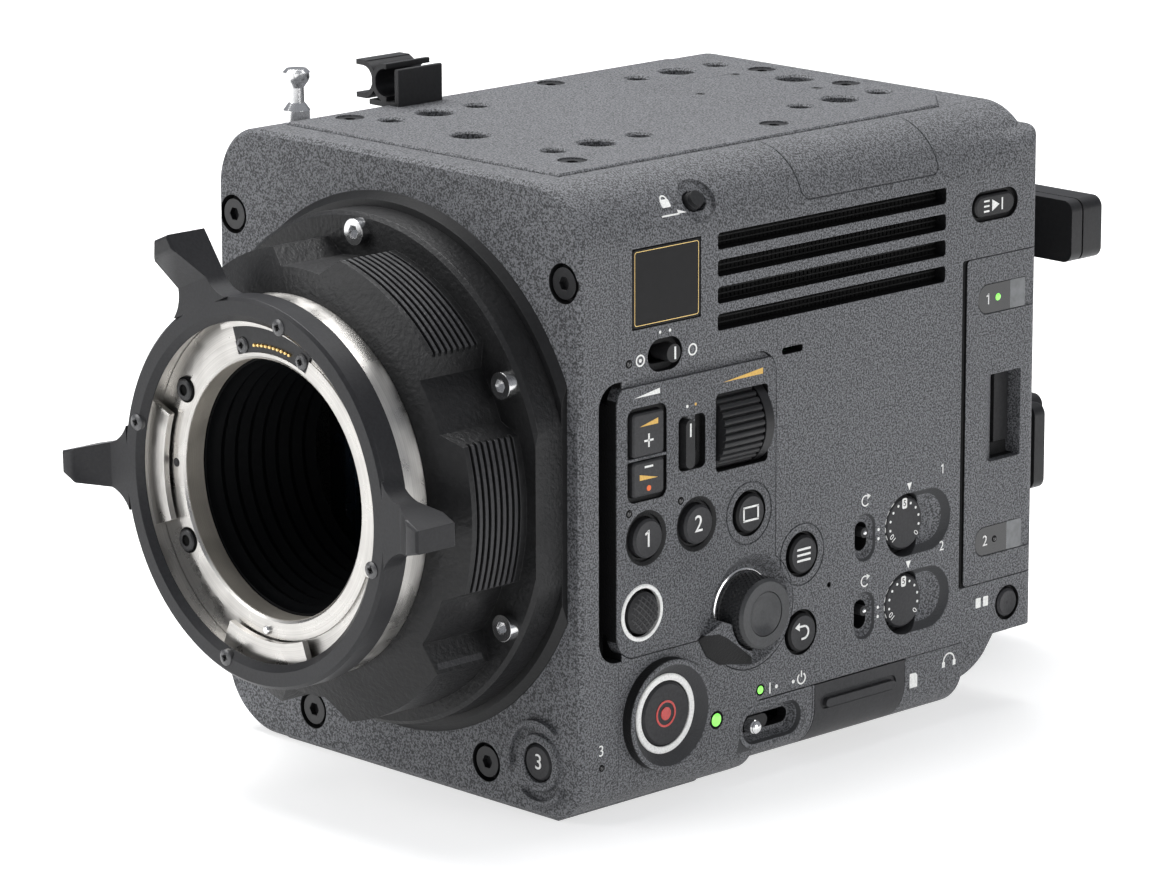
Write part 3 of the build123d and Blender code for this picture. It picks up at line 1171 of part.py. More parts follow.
def audio_box():
    """Audio input housing on the far side, its sockets facing the rear."""
    y0, y1, z0, z1 = AUDIO
    shape = rounded(AUDIO_OUT, -BODY_HALF, y0, y1, 9, 0, 0, 4)
    box = prism_z(shape, z0, z1)
    box = chamfer(box.faces().sort_by(Axis.Z)[-1].edges(), 1.2)
    box -= block(AUDIO_OUT + 3, -BODY_HALF - 3, y0 + 3, y1 - 16, z0 + 3, z1 - 3)
    for x, z in XLR:
        box -= rod_y(x, z, XLR_R, y1 - 13, y1 + 1)
    return box


def xlr_sockets():
    """Insulators of the two audio inputs, three contact holes each."""
    floor = AUDIO[1] - 13
    pieces = []
    for x, z in XLR:
        core = rod_y(x, z, 7.0, floor, AUDIO[1] - 1.0) + rod_y(x, z, XLR_R - 0.1, floor, floor + 1.6)
        for angle in (90, 210, 330):
            core -= rod_y(x + 3.4 * cos(radians(angle)), z + 3.4 * sin(radians(angle)), 0.9,
                          floor + 4, AUDIO[1])
        pieces.append(core)
    return Compound(children=pieces)


def tape_hook():
    """Bright waisted pin for the end of a tape measure."""
    x, y = HOOK
    foot = HOOK_FOOT
    root, top = foot - HOOK_ROOT, foot + HOOK_HIGH
    return lathe_z(((0, root), (1.5, root), (1.5, foot), (2.9, foot), (2.9, foot + 3.6), (1.7, foot + 5.2),
                    (1.6, top - 4.0), (2.6, top - 2.6), (2.9, top - 1.8), (2.9, top - 0.7), (2.2, top),
                    (0, top)), x, y)


def cable_clamp():
    """Plastic clamp with one cable channel open to the left and one to the right."""
    wall = CLAMP_WALL
    foot = BODY_TOP + CLAMP_FOOT
    z = foot + CLAMP_R - 0.1
    bore = CLAMP_R - wall
    side = CLAMP_PLATE_X + CLAMP_FOOT
    low = rounded(CLAMP_LEFT, side, BODY_TOP, foot, 0.3, 0.3, 0.3, 0.3)
    left_x, right_x = CLAMP_LEFT - 2.1, CLAMP_LEFT + 4.9
    left = Pos(left_x, z) * (Circle(CLAMP_R) - Circle(bore)) & Pos(left_x + 2.6, z) * Rectangle(6, 12)
    right = Pos(right_x, z) * (Circle(CLAMP_R) - Circle(bore)) & Pos(right_x - 2.7, z) * Rectangle(6.4, 12)
    middle = CLAMP_R - wall / 2
    prongs = Pos(left_x - 0.4, z + middle) * Rectangle(3.2, wall)
    prongs += Pos(left_x - 0.4, z - middle) * Rectangle(3.2, wall)
    plate = rounded(CLAMP_PLATE_X, side, BODY_TOP, BODY_TOP + CLAMP_HIGH, 0, 0, 0.4, 0.4)
    return prism_y(low + left + right + prongs + plate, *CLAMP_Y)


def vent_mesh():
    inner = BODY_HALF - SKIN
    last = VENT_LOW + (VENTS - 1) * VENT_PITCH + VENT_TALL
    return block(inner - 1.1, inner - SEAT, VENT_SPAN[0] - 3.8, VENT_SPAN[1] + 4, VENT_LOW - 2.2, last + 0.5)


def fan_frame():
    """Square fan frame against the far wall, with the rotor's bearing."""
    y, z = FAN
    wall = INSET - BODY_HALF + 0.3
    frame = block(wall, wall + 14, y - FAN_HALF, y + FAN_HALF, z - FAN_HALF, z + FAN_HALF)
    frame -= rod_x(y, z, FAN_R + 0.8, wall - 1, wall + 15)
    frame += rod_x(y, z, 9.0, wall, wall + 2)
    for turn in (0, 90):
        bar = Pos(y, z) * Rot(0, 0, turn + 45) * Rectangle(2 * FAN_R + 4, 2.5)
        frame += prism_x(bar, wall, wall + 2)
    return frame - rod_x(y, z, 1.5 + RUN, wall - 1, wall + 3)


def fan_rotor():
    y, z = FAN
    wall = INSET - BODY_HALF + 0.3
    rotor = rod_x(y, z, 9.0, wall + 2.4, wall + 12) + rod_x(y, z, 1.5, wall + 0.4, wall + 3)
    blade = Pos(0, 0, 15) * Rot(0, 0, 38) * Box(8.6, 1.2, 13.6)
    for step in range(FAN_BLADES):
        rotor += Pos(wall + 7.2, y, z) * Rot(360 * step / FAN_BLADES, 0, 0) * blade
    return rotor


def heat_sink():
    """Finned block between the fan and the main board."""
    y, z = FAN
    left = -28.0
    right = 6.0
    sink = block(right - 3, right, y - 27, y + 27, z - 27, z + 27)
    for fin in range(FINS):
        y_fin = y - 26 + 52 * fin / (FINS - 1)
        sink += block(left, right - 1, y_fin - 0.6, y_fin + 0.6, z - 27, z + 27)
    return sink


def main_board():
    """Main circuit board with its processor block."""
    board = block(6.3, 7.9, 12, 82, FLOOR_TOP + SEAT, 119) + block(6.3, 7.9, 12, 105, 32, 119)
    board += block(7.9, 10.4, 30, 64, 54, 88)
    board += block(7.9, 9.4, 72, 92, 60, 74)
    return board


def pieces():
    """Every sub-part by its name."""
    made = {
        "front_plate": front_plate(), "main_frame": main_frame(), "side_cover": side_cover(),
        "control_panel": control_panel(), "top_plate": top_plate(), "top_hatch": top_hatch(),
        "housing_screws": housing_screws(), "base_plate": base_plate(), "rear_plate": rear_plate(),
        "battery_plate": battery_plate(), "battery_release": battery_release(),
        "rear_connectors": rear_connectors(), "audio_box": audio_box(), "xlr_sockets": xlr_sockets(),
        "tape_hook": tape_hook(), "cable_clamp": cable_clamp(), "vent_mesh": vent_mesh(),
        "media_door": media_door(), "door_latch": door_latch(), "door_hinge_pin": door_hinge_pin(),
        "card_bay": card_bay(), "sd_flap": sd_flap(),
        "mount_base": mount_base(), "adaptor_body": adaptor_body(), "adaptor_screws": adaptor_screws(),
        "lens_flange": lens_flange(), "lens_baffle": lens_baffle(), "contact_block": contact_block(),
        "lock_ring": lock_ring(), "bayonet_ring": bayonet_ring(),
        "sensor_module": sensor_module(), "nd_filter": nd_filter(),
        "fan_frame": fan_frame(), "fan_rotor": fan_rotor(), "heat_sink": heat_sink(),
        "main_board": main_board(),
        "rec_button": push_button(*REC, REC_R, 0.9), "button_3": button_3(),
        "menu_button": push_button(*MENU, BUTTON_R), "back_button": push_button(*BACK, BUTTON_R),
        "slot_button": push_button(*SLOT_SELECT, SLOT_SELECT_R, 0.3), "clips_button": clips_button(),
        "nd_switch": nd_switch(), "nd_wheel": nd_wheel(), "af_switch": af_switch(),
        "lock_switch": lock_switch(), "power_switch": power_switch(),
        "jog_dial": jog_dial(), "jog_button": jog_button(),
        "joystick": joystick(), "joystick_gimbal": joystick_gimbal(),
    }
    for name, place in PANEL_BUTTONS.items():
        made[name] = push_button(*place, BUTTON_R)
    for name, place in ND_KEYS.items():
        made[name] = nd_key(*place)
    for name, place in DIALS.items():
        made[name] = level_dial(*place)
    for name, place in AUTO_SWITCHES.items():
        made[name] = auto_switch(*place)
    return made


os.makedirs("parts", exist_ok=True)
for name, piece in pieces().items():
    export_step(piece, f"parts/{name}.step")
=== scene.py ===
import math

import bmesh
import bpy
from mathutils import Matrix, Vector


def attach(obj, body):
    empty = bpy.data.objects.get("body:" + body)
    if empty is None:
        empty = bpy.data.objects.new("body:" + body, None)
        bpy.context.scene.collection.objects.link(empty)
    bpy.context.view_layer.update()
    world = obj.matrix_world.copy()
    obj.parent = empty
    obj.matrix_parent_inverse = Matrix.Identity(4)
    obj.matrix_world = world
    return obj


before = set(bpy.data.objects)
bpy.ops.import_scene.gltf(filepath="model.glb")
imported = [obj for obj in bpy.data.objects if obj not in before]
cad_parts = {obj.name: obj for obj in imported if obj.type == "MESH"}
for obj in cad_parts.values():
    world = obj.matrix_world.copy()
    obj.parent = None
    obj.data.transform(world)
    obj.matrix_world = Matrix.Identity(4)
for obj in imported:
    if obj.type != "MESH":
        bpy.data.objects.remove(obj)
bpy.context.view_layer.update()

MM = 0.001
ROOT = "camera"

# Faces of the body and of the lens side, in millimetres
SIDE_X = 54.86
FRONT_Y = -18.0
TOP_Z = 132.24
AXIS_Z = 67.45
SHOULDER_R = 14.0
SHOULDER_Z = 117.7
FLANGE_Y = -52.0
CONTACT_Y = -51.95
RING_Y = -57.1

# Middles of the controls: y and z on the side, x and z on the front
RECORD = (5.4, 20.2)
RECORD_LAMP = (20.85, 15.5)
POWER_LAMP = (33.83, 19.29)
KEY_1 = (0.5, 58.0)
KEY_2 = (15.0, 58.3)
DISPLAY_KEY = (30.2, 57.9)
MENU_KEY = (46.1, 46.2)
BACK_KEY = (45.9, 29.4)
SLOT_KEY = (110.8, 23.4)
JOYSTICK = (-0.8, 42.6)
JOG = (30.8, 37.1)
BADGE = (6.2, 109.7)
DIALS = ((79.0, 46.6), (78.9, 29.5))
DIAL_WELLS = ((78.35, 46.6), (78.25, 29.5))
BUTTON_3 = (42.8, 12.1)
FRONT_SCREWS = ((-50.0, 112.5), (50.0, 112.5), (-26.8, 8.7), (26.8, 8.7))

# Small sliders beside the dials: y, z and the height of the symbol above
AUTO_SLIDERS = ((65.4, 46.2, 54.2), (65.4, 29.2, 36.7))

# Other places and depths that several pieces share
WINDOWS_Z = (91.8, 38.4)
ND_KEYS_Y = 0.65
ND_SLOT_Z = (69.8, 81.6)
KEY_FACE = 0.5
INK_LOW = -0.05
INK_HIGH = 0.03
KEY_INK_LOW = -0.3


# Places: a matrix whose x and y lie in a surface and whose z points out of it, in millimetres

def place(origin, across, up, out):
    columns = [Vector(across), Vector(up), Vector(out), Vector(origin)]
    rows = [[c[i] for c in columns] for i in range(3)]
    return Matrix(rows + [[0, 0, 0, 1]])


def side(y, z, out=0.0):
    return place((SIDE_X + out, y, z), (0, 1, 0), (0, 0, 1), (1, 0, 0))


def front(x, z, out=0.0):
    return place((x, FRONT_Y - out, z), (1, 0, 0), (0, 0, 1), (0, -1, 0))


def top(x, y, out=0.0):
    return place((x, y, TOP_Z + out), (1, 0, 0), (0, 1, 0), (0, 0, 1))


def shoulder(y, degrees):
    """On the rounded shoulder of the control side, at an angle above the horizontal."""
    c, s = around(1.0, degrees)
    origin = (SIDE_X - SHOULDER_R + SHOULDER_R * c, y, SHOULDER_Z + SHOULDER_R * s)
    return place(origin, (0, 1, 0), (-s, 0, c), (c, 0, s))


def lens(y, angle=0.0, radius=0.0):
    """On the lens axis at depth y, or out at a radius and an angle from +X, anticlockwise from the front."""
    c, s = around(1.0, angle)
    return place((radius * c, y, AXIS_Z + radius * s), (c, 0, s), (-s, 0, c), (0, -1, 0))


def around(radius, degrees):
    """A point on a circle."""
    a = math.radians(degrees)
    return radius * math.cos(a), radius * math.sin(a)


# Materials

def toned(color, factor, plus=0.0):
    """A colour made lighter or darker, never past white."""
    return tuple(min(1.0, c * factor + plus) for c in color)


class Shader:
    """A procedural material, built step by step from the point on the object."""

    def __init__(self, name, color, roughness, metallic=0.0, gleam=0.5):
        self.material = bpy.data.materials.new(name)
        self.material.use_nodes = True
        self.nodes = self.material.node_tree.nodes
        self.links = self.material.node_tree.links
        self.bsdf = next(n for n in self.nodes if n.type == "BSDF_PRINCIPLED")
        self.bsdf.inputs["Base Color"].default_value = (*color, 1)
        self.bsdf.inputs["Roughness"].default_value = roughness
        self.bsdf.inputs["Metallic"].default_value = metallic
        self.bsdf.inputs["Specular IOR Level"].default_value = gleam
        self.coord = self.node("ShaderNodeTexCoord").outputs["Object"]
        self.roughness = roughness
        self.split = None
        self.tint = None
        self.height = None
        self.bevel = None

    def node(self, kind, **values):
        made = self.nodes.new(kind)
        for key, value in values.items():
            setattr(made, key, value)
        return made

    def noise(self, scale, detail, rough=0.5, vector=None):
        made = self.node("ShaderNodeTexNoise")
        made.inputs["Scale"].default_value = scale
        made.inputs["Detail"].default_value = detail
        made.inputs["Roughness"].default_value = rough
        self.links.new(vector or self.coord, made.inputs["Vector"])
        return made.outputs["Fac"]

    def spread(self, value, low, high, to_low=0.0, to_high=1.0):
        made = self.node("ShaderNodeMapRange")
        made.clamp = True
        for key, number in (("From Min", low), ("From Max", high), ("To Min", to_low), ("To Max", to_high)):
            made.inputs[key].default_value = number
        self.links.new(value, made.inputs["Value"])
        return made.outputs["Result"]

    def math(self, operation, *values):
        made = self.node("ShaderNodeMath", operation=operation)
        for socket, value in zip(made.inputs, values):
            if isinstance(value, (int, float)):
                socket.default_value = value
            else:
                self.links.new(value, socket)
        return made.outputs[0]

    def mixed(self, factor, a, b):
        made = self.node("ShaderNodeMix", data_type="RGBA")
        self.links.new(factor, made.inputs[0])
        for socket, value in ((made.inputs[6], a), (made.inputs[7], b)):
            if isinstance(value, tuple):
                socket.default_value = (*value, 1)
            else:
                self.links.new(value, socket)
        return made.outputs[2]

    def axis(self, index):
        """One coordinate of the point, in metres."""
        if self.split is None:
            self.split = self.node("ShaderNodeSeparateXYZ")
            self.links.new(self.coord, self.split.inputs[0])
        return self.split.outputs[index]

    def distance(self, along, first, second):
        """Distance in metres from a line along x or y, given by its other two coordinates in millimetres."""
        shift = self.node("ShaderNodeVectorMath", operation="SUBTRACT")
        flat = self.node("ShaderNodeVectorMath", operation="MULTIPLY")
        if along == "x":
            shift.inputs[1].default_value = (0, first * MM, second * MM)
            flat.inputs[1].default_value = (0, 1, 1)
        else:
            shift.inputs[1].default_value = (first * MM, 0, second * MM)
            flat.inputs[1].default_value = (1, 0, 1)
        length = self.node("ShaderNodeVectorMath", operation="LENGTH")
        self.links.new(self.coord, shift.inputs[0])
        self.links.new(shift.outputs[0], flat.inputs[0])
        self.links.new(flat.outputs[0], length.inputs[0])
        return length.outputs["Value"]

    def speckle(self, scale, light, dark, low=0.3, high=0.7):
        """Fine flecks of two tones."""
        self.tint = self.mixed(self.spread(self.noise(scale, 1.0), low, high), dark, light)

    def clouds(self, scale, amount):
        """Slow change of tone over the surface."""
        factor = self.spread(self.noise(scale, 3.0), 0.3, 0.7, 1.0 - amount, 1.0 + amount)
        made = self.node("ShaderNodeVectorMath", operation="SCALE")
        self.links.new(self.tint, made.inputs[0])
        self.links.new(factor, made.inputs["Scale"])
        self.tint = made.outputs[0]

    def worn(self, radius, light, amount):
        """Edges rubbed lighter, found from rounded against true normals."""
        bevel = self.node("ShaderNodeBevel", samples=4)
        bevel.inputs["Radius"].default_value = radius * MM
        geometry = self.node("ShaderNodeNewGeometry")
        dot = self.node("ShaderNodeVectorMath", operation="DOT_PRODUCT")
        self.links.new(bevel.outputs[0], dot.inputs[0])
        self.links.new(geometry.outputs["Normal"], dot.inputs[1])
        edge = self.spread(dot.outputs["Value"], 0.995, 0.85)
        breakup = self.spread(self.noise(300.0, 3.0), 0.35, 0.65, 0.3, 1.0)
        edge = self.math("MULTIPLY", self.math("MULTIPLY", edge, breakup), amount)
        self.tint = self.mixed(edge, self.tint, light)
        self.bevel = bevel.outputs[0]

    def inside(self, x=None, y=None, z=None, about=None):
        """1 inside a box of spans and between two radii about a line along x or y, in millimetres."""
        parts = [(self.axis(i), span) for i, span in enumerate((x, y, z)) if span]
        if about:
            *line, low, high = about
            parts.append((self.distance(*line), (low, high)))
        factor = None
        for value, (low, high) in parts:
            near = self.math("COMPARE", value, (low + high) / 2 * MM, (high - low) / 2 * MM)
            factor = near if factor is None else self.math("MULTIPLY", factor, near)
        return factor

    def painted(self, zones, color):
        """Another colour inside the given zones."""
        total = None
        for zone in zones:
            factor = self.inside(**zone)
            total = factor if total is None else self.math("MAXIMUM", total, factor)
        self.tint = self.mixed(total, self.tint, color)

    def grain(self, scale, depth, detail):
        """Raised grain, its depth in millimetres."""
        self.height = self.math("MULTIPLY", self.spread(self.noise(scale, detail), 0.35, 0.65), depth)

    def varied_roughness(self, scale, amount):
        low, high = self.roughness - amount, self.roughness + amount
        value = self.spread(self.noise(scale, 3.0), 0.3, 0.7, low, high)
        self.links.new(value, self.bsdf.inputs["Roughness"])

    def coated(self, weight):
        self.bsdf.inputs["Coat Weight"].default_value = weight

    def glow(self, color, strength):
        self.bsdf.inputs["Emission Color"].default_value = (*color, 1)
        self.bsdf.inputs["Emission Strength"].default_value = strength

    def done(self):
        self.links.new(self.tint, self.bsdf.inputs["Base Color"])
        if self.height is not None:
            bump = self.node("ShaderNodeBump")
            bump.inputs["Strength"].default_value = 1.0
            bump.inputs["Distance"].default_value = MM
            self.links.new(self.height, bump.inputs["Height"])
            self.links.new(self.bevel, bump.inputs["Normal"])
            self.links.new(bump.outputs[0], self.bsdf.inputs["Normal"])
        return self.material


def paint(name, tone, black=(), dim=()):
    """Sand-grained paint: a fine light and dark fleck over a raised grain, with near-black and dimmed zones
    of painted shade.
    """
    contrast, scale = 0.66, 2300.0
    made = Shader(name, tone, 0.62, gleam=0.35)
    made.speckle(scale * 1.15, toned(tone, 1 + contrast), toned(tone, 1 - contrast), 0.38, 0.62)
    made.clouds(9.0, 0.06)
    made.worn(0.3, toned(tone, 2.0), 0.35)
    # Painted shade: dimmed zones on bowls and slopes that lie in shade
    if dim:
        made.painted(dim, toned(tone, 0.4))
    # Painted shade: near-black zones in recesses, wells, gaps and seams
    if black:
        made.painted(black, PAINTED_SHADE_BLACK)
    made.grain(scale, 0.04, 1.0)
    return made.done()


def machined(name, color, rough, lines=0.004, metallic=1.0):
    """Turned metal: fine rings about the lens axis, drawn from the distance to that axis."""
    made = Shader(name, color, rough, metallic)
    combine = made.node("ShaderNodeCombineXYZ")
    made.links.new(made.distance("y", 0.0, AXIS_Z), combine.inputs[0])
    made.links.new(made.axis(1), combine.inputs[1])
    rings = made.noise(5200.0, 3.0, 0.6, combine.outputs[0])
    made.height = made.math("MULTIPLY", rings, lines)
    made.tint = made.mixed(made.spread(rings, 0.35, 0.65), toned(color, 0.86), toned(color, 1.05))
    smear = made.spread(made.noise(160.0, 4.0), 0.35, 0.7, rough * 0.75, rough * 1.5)
    made.links.new(smear, made.bsdf.inputs["Roughness"])
    made.worn(0.15, (0.95, 0.95, 0.95), 0.3)
    return made.done()


def plastic(name, color, rough, grain=0.008, scale=1800.0, coat=0.0, wear=0.25, gleam=0.3, zones=()):
    """Plastic, rubber, glass or coated metal, with zones of other colours."""
    made = Shader(name, color, rough, gleam=gleam)
    made.speckle(scale * 0.7, toned(color, 1.18), toned(color, 0.84))
    made.worn(0.2, toned(color, 2.5, 0.01), wear)
    for boxes, tone in zones:
        made.painted(boxes, tone)
    made.grain(scale, grain, 2.0)
    if coat:
        made.coated(coat)
        made.bsdf.inputs["Coat Roughness"].default_value = 0.06
    made.varied_roughness(60.0, rough * 0.15)
    return made.done()


def glowing(name, color, strength):
    made = Shader(name, color, 0.25)
    made.speckle(900.0, color, toned(color, 0.8))
    made.glow(color, strength)
    made.coated(0.6)
    return made.done()


def ink(name, color):
    """Printed marks, slightly uneven as screen print is."""
    made = Shader(name, color, 0.55)
    made.speckle(2500.0, color, toned(color, 0.8), 0.25, 0.6)
    return made.done()


# Zones of the painted pieces, by where the point lies: painted shade, and a painted highlight on the
# adaptor's ribs

INNER_X = 40.0
OUTER_X = 60.0
FACE_SKIN = 0.12
RAISED = (SIDE_X + 0.05, OUTER_X)


def sunk(y, z, below=FACE_SKIN, floor=INNER_X):
    """What lies between a depth under the side's face and a floor, in a span of y and of z."""
    return {"x": (floor, SIDE_X - below), "y": y, "z": z}


def well(middle, radius=4.95):
    """A round well in the side."""
    return {"x": (INNER_X, SIDE_X - FACE_SKIN), "about": ("x", *middle, 0.0, radius)}


def ring_zone(x, middle, low, high):
    """Between two radii about a middle on the side."""
    return {"x": x, "about": ("x", *middle, low, high)}


# Painted shade: the near black of recesses, wells, gaps, vents and seams, and of walls turned away from the
# light
PAINTED_SHADE_BLACK = (0.004, 0.004, 0.0045)
# Painted shade on the control side: the record key's well and its raised ring's outer wall, the channel,
# vents, wells, switch recesses, bowls and seams
SIDE_SHADE_ZONES = [
    ring_zone(RAISED, RECORD, 11.7, 12.4),
    ring_zone((INNER_X, SIDE_X + 0.2), RECORD, 0.0, 8.4),
    sunk((-14.0, -5.9), (32.0, 92.5), 0.3),
    sunk((20.5, 89.8), (97.3, 118.4)),
    well(MENU_KEY),
    well(BACK_KEY),
    well(SLOT_KEY, 3.9),
    sunk((0.6, 10.8), (91.8, 98.8)),
    sunk((97.4, 112.5), (108.7, 115.5)),
    sunk((94.8, 95.2), (28.0, 103.0)),
    sunk((61.0, 69.5), (22.0, 53.0), 1.6),
    sunk((71.0, 93.0), (22.0, 54.0), 3.4),
    sunk((27.0, 48.0), (6.0, 17.0), 2.8),
    sunk((39.0, 46.8), (89.2, 91.5)),
    well((54.4, 38.0), 0.8),
    sunk((-4.0, 16.4), (101.0, 118.4)),
]
# Painted shade, dimmed: the record key's inner slope, the bowls by the dials and sliders, the power switch's
# recess and the dials' wells
SIDE_DIM_SHADE_ZONES = [
    ring_zone((SIDE_X + 0.25, OUTER_X), RECORD, 8.3, 10.6),
    sunk((71.5, 93.0), (22.0, 54.0), floor=SIDE_X - 1.5),
    sunk((61.0, 69.5), (22.0, 53.0), floor=SIDE_X - 0.6),
    sunk((27.5, 47.5), (5.8, 17.2), 0.02, SIDE_X - 0.9),
] + [well(middle, 6.95) for middle in DIAL_WELLS]
# Painted shade on the control panel: the wells round its keys and joystick, the filter keys' and wheel's
# recesses, the channel at its front edge and the outer wall of the guard by the jog dial
PANEL_SHADE_ZONES = [
    well(KEY_1, 5.8),
    well(KEY_2, 5.8),
    well(DISPLAY_KEY),
    well(JOYSTICK, 5.15),
    sunk((-5.2, 6.5), (65.6, 74.4)),
    sunk((-5.2, 6.5), (75.0, 85.6)),
    sunk((9.4, 13.7), ND_SLOT_Z),
    sunk((16.1, 17.6), ND_SLOT_Z),
    sunk((13.7, 16.1), ND_SLOT_Z, floor=SIDE_X - 1.7),
    sunk((20.2, 35.9), (67.9, 84.7)),
    sunk((-9.0, -7.75), None, 0.3),
    {"x": (SIDE_X + 0.05, SIDE_X + 2.25), "y": (14.0, 31.3), "z": (24.0, 34.6)},
]
# Painted shade on the front plate: the recesses round its screws and the third button, and the channel
# beside the control panel
FRONT_SHADE_ZONES = [{"y": (-17.9, -7.0), "about": ("y", *middle, 0.0, 4.3)} for middle in FRONT_SCREWS] + [
    {"x": (44.0, SIDE_X - 0.3), "y": (-13.6, -7.0), "z": (32.0, 92.5)},
    {"y": (-18.2, -7.0), "about": ("y", *BUTTON_3, 0.0, 4.25)},
]
# Painted shade on the card door: its groove at the front edge and the deep slot of its grip
DOOR_SHADE_ZONES = [sunk((95.5, 98.4), None), sunk((106.9, 114.0), (55.0, 76.0), 2.0)]
# Painted shade round the edges of three keys, down in their wells
KEY_RING_SHADE_ZONES = [ring_zone((50.0, 58.0), middle, 3.62, 4.6) for middle in (DISPLAY_KEY, MENU_KEY, BACK_KEY)]
# Painted highlight: lighter crests on the ribs of the adaptor's lobes, where they catch the light
RIB_HIGHLIGHT_ZONES = [
    {"x": span, "y": (-40.4, -28.2), "about": ("y", 0.0, AXIS_Z, 48.15, 49.2)}
    for span in ((0.0, 60.0), (-60.0, -40.0))
]

BODY_TONE = (0.098, 0.100, 0.106)
MATERIALS = {
    "body": paint("body_paint", BODY_TONE),
    "side": paint("side_paint", BODY_TONE, SIDE_SHADE_ZONES, SIDE_DIM_SHADE_ZONES),
    "front": paint("front_paint", BODY_TONE, FRONT_SHADE_ZONES),
    "door": paint("door_paint", BODY_TONE, DOOR_SHADE_ZONES),
    "panel": paint("panel_paint", (0.090, 0.092, 0.098), PANEL_SHADE_ZONES),
    # Black anodised adaptor, with a painted highlight on its rib crests
    "black": plastic("black_anodised", (0.0105, 0.0105, 0.011), 0.45, 0.05, 1000.0,
                     zones=[(RIB_HIGHLIGHT_ZONES, (0.032, 0.032, 0.034))]),
    "smooth_black": plastic("smooth_black", (0.0105, 0.0105, 0.011), 0.38, 0.01),
    "baffle": plastic("baffle_black", (0.0018, 0.0021, 0.0026), 0.6, 0.01, 900.0, wear=0.0, gleam=0.12),
    "ring": plastic("ring_anodised", (0.015, 0.015, 0.0165), 0.38, 0.006, 2200.0, wear=0.4),
    "steel": machined("steel_turned", (0.56, 0.545, 0.52), 0.30),
    "throat": machined("throat_steel", (0.42, 0.39, 0.34), 0.5, metallic=0.45),
    "bright": machined("bright_screw", (0.82, 0.82, 0.82), 0.16, 0.001),
    "grey_screw": plastic("grey_oxide", (0.050, 0.050, 0.052), 0.28, 0.004, 1500.0, wear=0.6, gleam=0.7),
    "dark_screw": plastic("black_oxide", (0.014, 0.014, 0.015), 0.33, 0.004, 1500.0, wear=0.6, gleam=0.4),
    # The joystick's ridges are lighter than the cap's rubber: a painted highlight on their crests
    "ridge": plastic("ridge_rubber_painted_highlight", (0.060, 0.060, 0.062), 0.45, 0.004, 2400.0, gleam=0.4),
    "rubber": plastic("key_rubber", (0.020, 0.020, 0.021), 0.50, 0.006, 2400.0),
    "key": plastic("key_face", (0.026, 0.026, 0.028), 0.5, 0.006, 2400.0),
    # Key faces with a ring of painted shade round their edges
    "ringed_key": plastic("ringed_key_face", (0.026, 0.026, 0.028), 0.5, 0.006, 2400.0,
                          zones=[(KEY_RING_SHADE_ZONES, PAINTED_SHADE_BLACK)]),
    "plastic": plastic("black_plastic", (0.012, 0.012, 0.013), 0.42, 0.008, 1500.0, gleam=0.35),
    "flap": plastic("flap_plastic", (0.030, 0.030, 0.032), 0.5, 0.006, 2400.0),
    "cap": plastic("jog_cap", (0.042, 0.043, 0.045), 0.40, 0.004, 2600.0, gleam=0.4),
    "gloss": plastic("gloss_black", (0.006, 0.006, 0.007), 0.14, 0.0, 900.0, coat=0.8),
    "badge": plastic("badge_black", (0.004, 0.004, 0.0045), 0.30, 0.0, 900.0, gleam=0.2),
    # The clear ends of the lamp windows, lighter grey: a painted highlight
    "glass": plastic("window_glass_painted_highlight", (0.10, 0.105, 0.11), 0.16, 0.0, 900.0, coat=0.8),
    # Near black: painted shade in the screw recesses, sockets and the rings round the flange screws; also
    # the lamp rims, the vent mesh and dark print
    "hollow": plastic("dark_hollow", (0.003, 0.003, 0.003), 0.7, 0.01, 1200.0, gleam=0.1),
    "screen": plastic("screen_mesh", (0.010, 0.010, 0.010), 0.5, 0.004, 1200.0, gleam=0.2),
    "board": plastic("circuit_board", (0.02, 0.10, 0.045), 0.35, 0.01, 700.0, coat=0.4),
    "alloy": plastic("alloy_fins", (0.42, 0.42, 0.44), 0.35, 0.006, 1500.0),
    "gold": machined("gold_contacts", (0.95, 0.68, 0.28), 0.22, 0.001),
    "filter": plastic("filter_glass", (0.010, 0.010, 0.012), 0.08, 0.0, 400.0, coat=1.0),
    "sensor": plastic("sensor_glass", (0.020, 0.030, 0.045), 0.07, 0.0, 400.0, coat=1.0),
    "white": ink("ink_white", (0.82, 0.82, 0.80)),
    "amber": ink("ink_amber", (0.72, 0.44, 0.10)),
    "orange": ink("ink_orange", (0.85, 0.16, 0.03)),
    # The red record mark is print, not a lamp: its glow is painted light
    "red": glowing("red_mark_painted_glow", (0.45, 0.02, 0.015), 0.15),
    "green": glowing("green_lamp", (0.22, 0.85, 0.10), 0.9),
    "lamp_off": plastic("lamp_off", (0.010, 0.010, 0.010), 0.2, 0.0, 900.0, coat=0.6),
    "gilt": machined("gilt_line", (0.86, 0.62, 0.25), 0.25, 0.001),
}


# Shapes: points and faces in the millimetres of a place

def piece(name, part, where, material, body=ROOT, smooth=30.0):
    """A mesh set in a place and carried by a body, smooth across edges under an angle."""
    verts, faces = part
    mesh = bpy.data.meshes.new(name)
    points = [(where @ Vector(v)) * MM for v in verts]
    mesh.from_pydata([tuple(p) for p in points], [], faces)
    build = bmesh.new()
    build.from_mesh(mesh)
    bmesh.ops.remove_doubles(build, verts=build.verts, dist=1e-7)
    bmesh.ops.recalc_face_normals(build, faces=build.faces)
    limit = math.radians(smooth)
    for face in build.faces:
        face.smooth = True
    for edge in build.edges:
        edge.smooth = len(edge.link_faces) == 2 and edge.calc_face_angle(0) <= limit
    build.to_mesh(mesh)
    build.free()
    mesh.materials.append(MATERIALS[material])
    obj = bpy.data.objects.new(name, mesh)
    bpy.context.scene.collection.objects.link(obj)
    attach(obj, body)


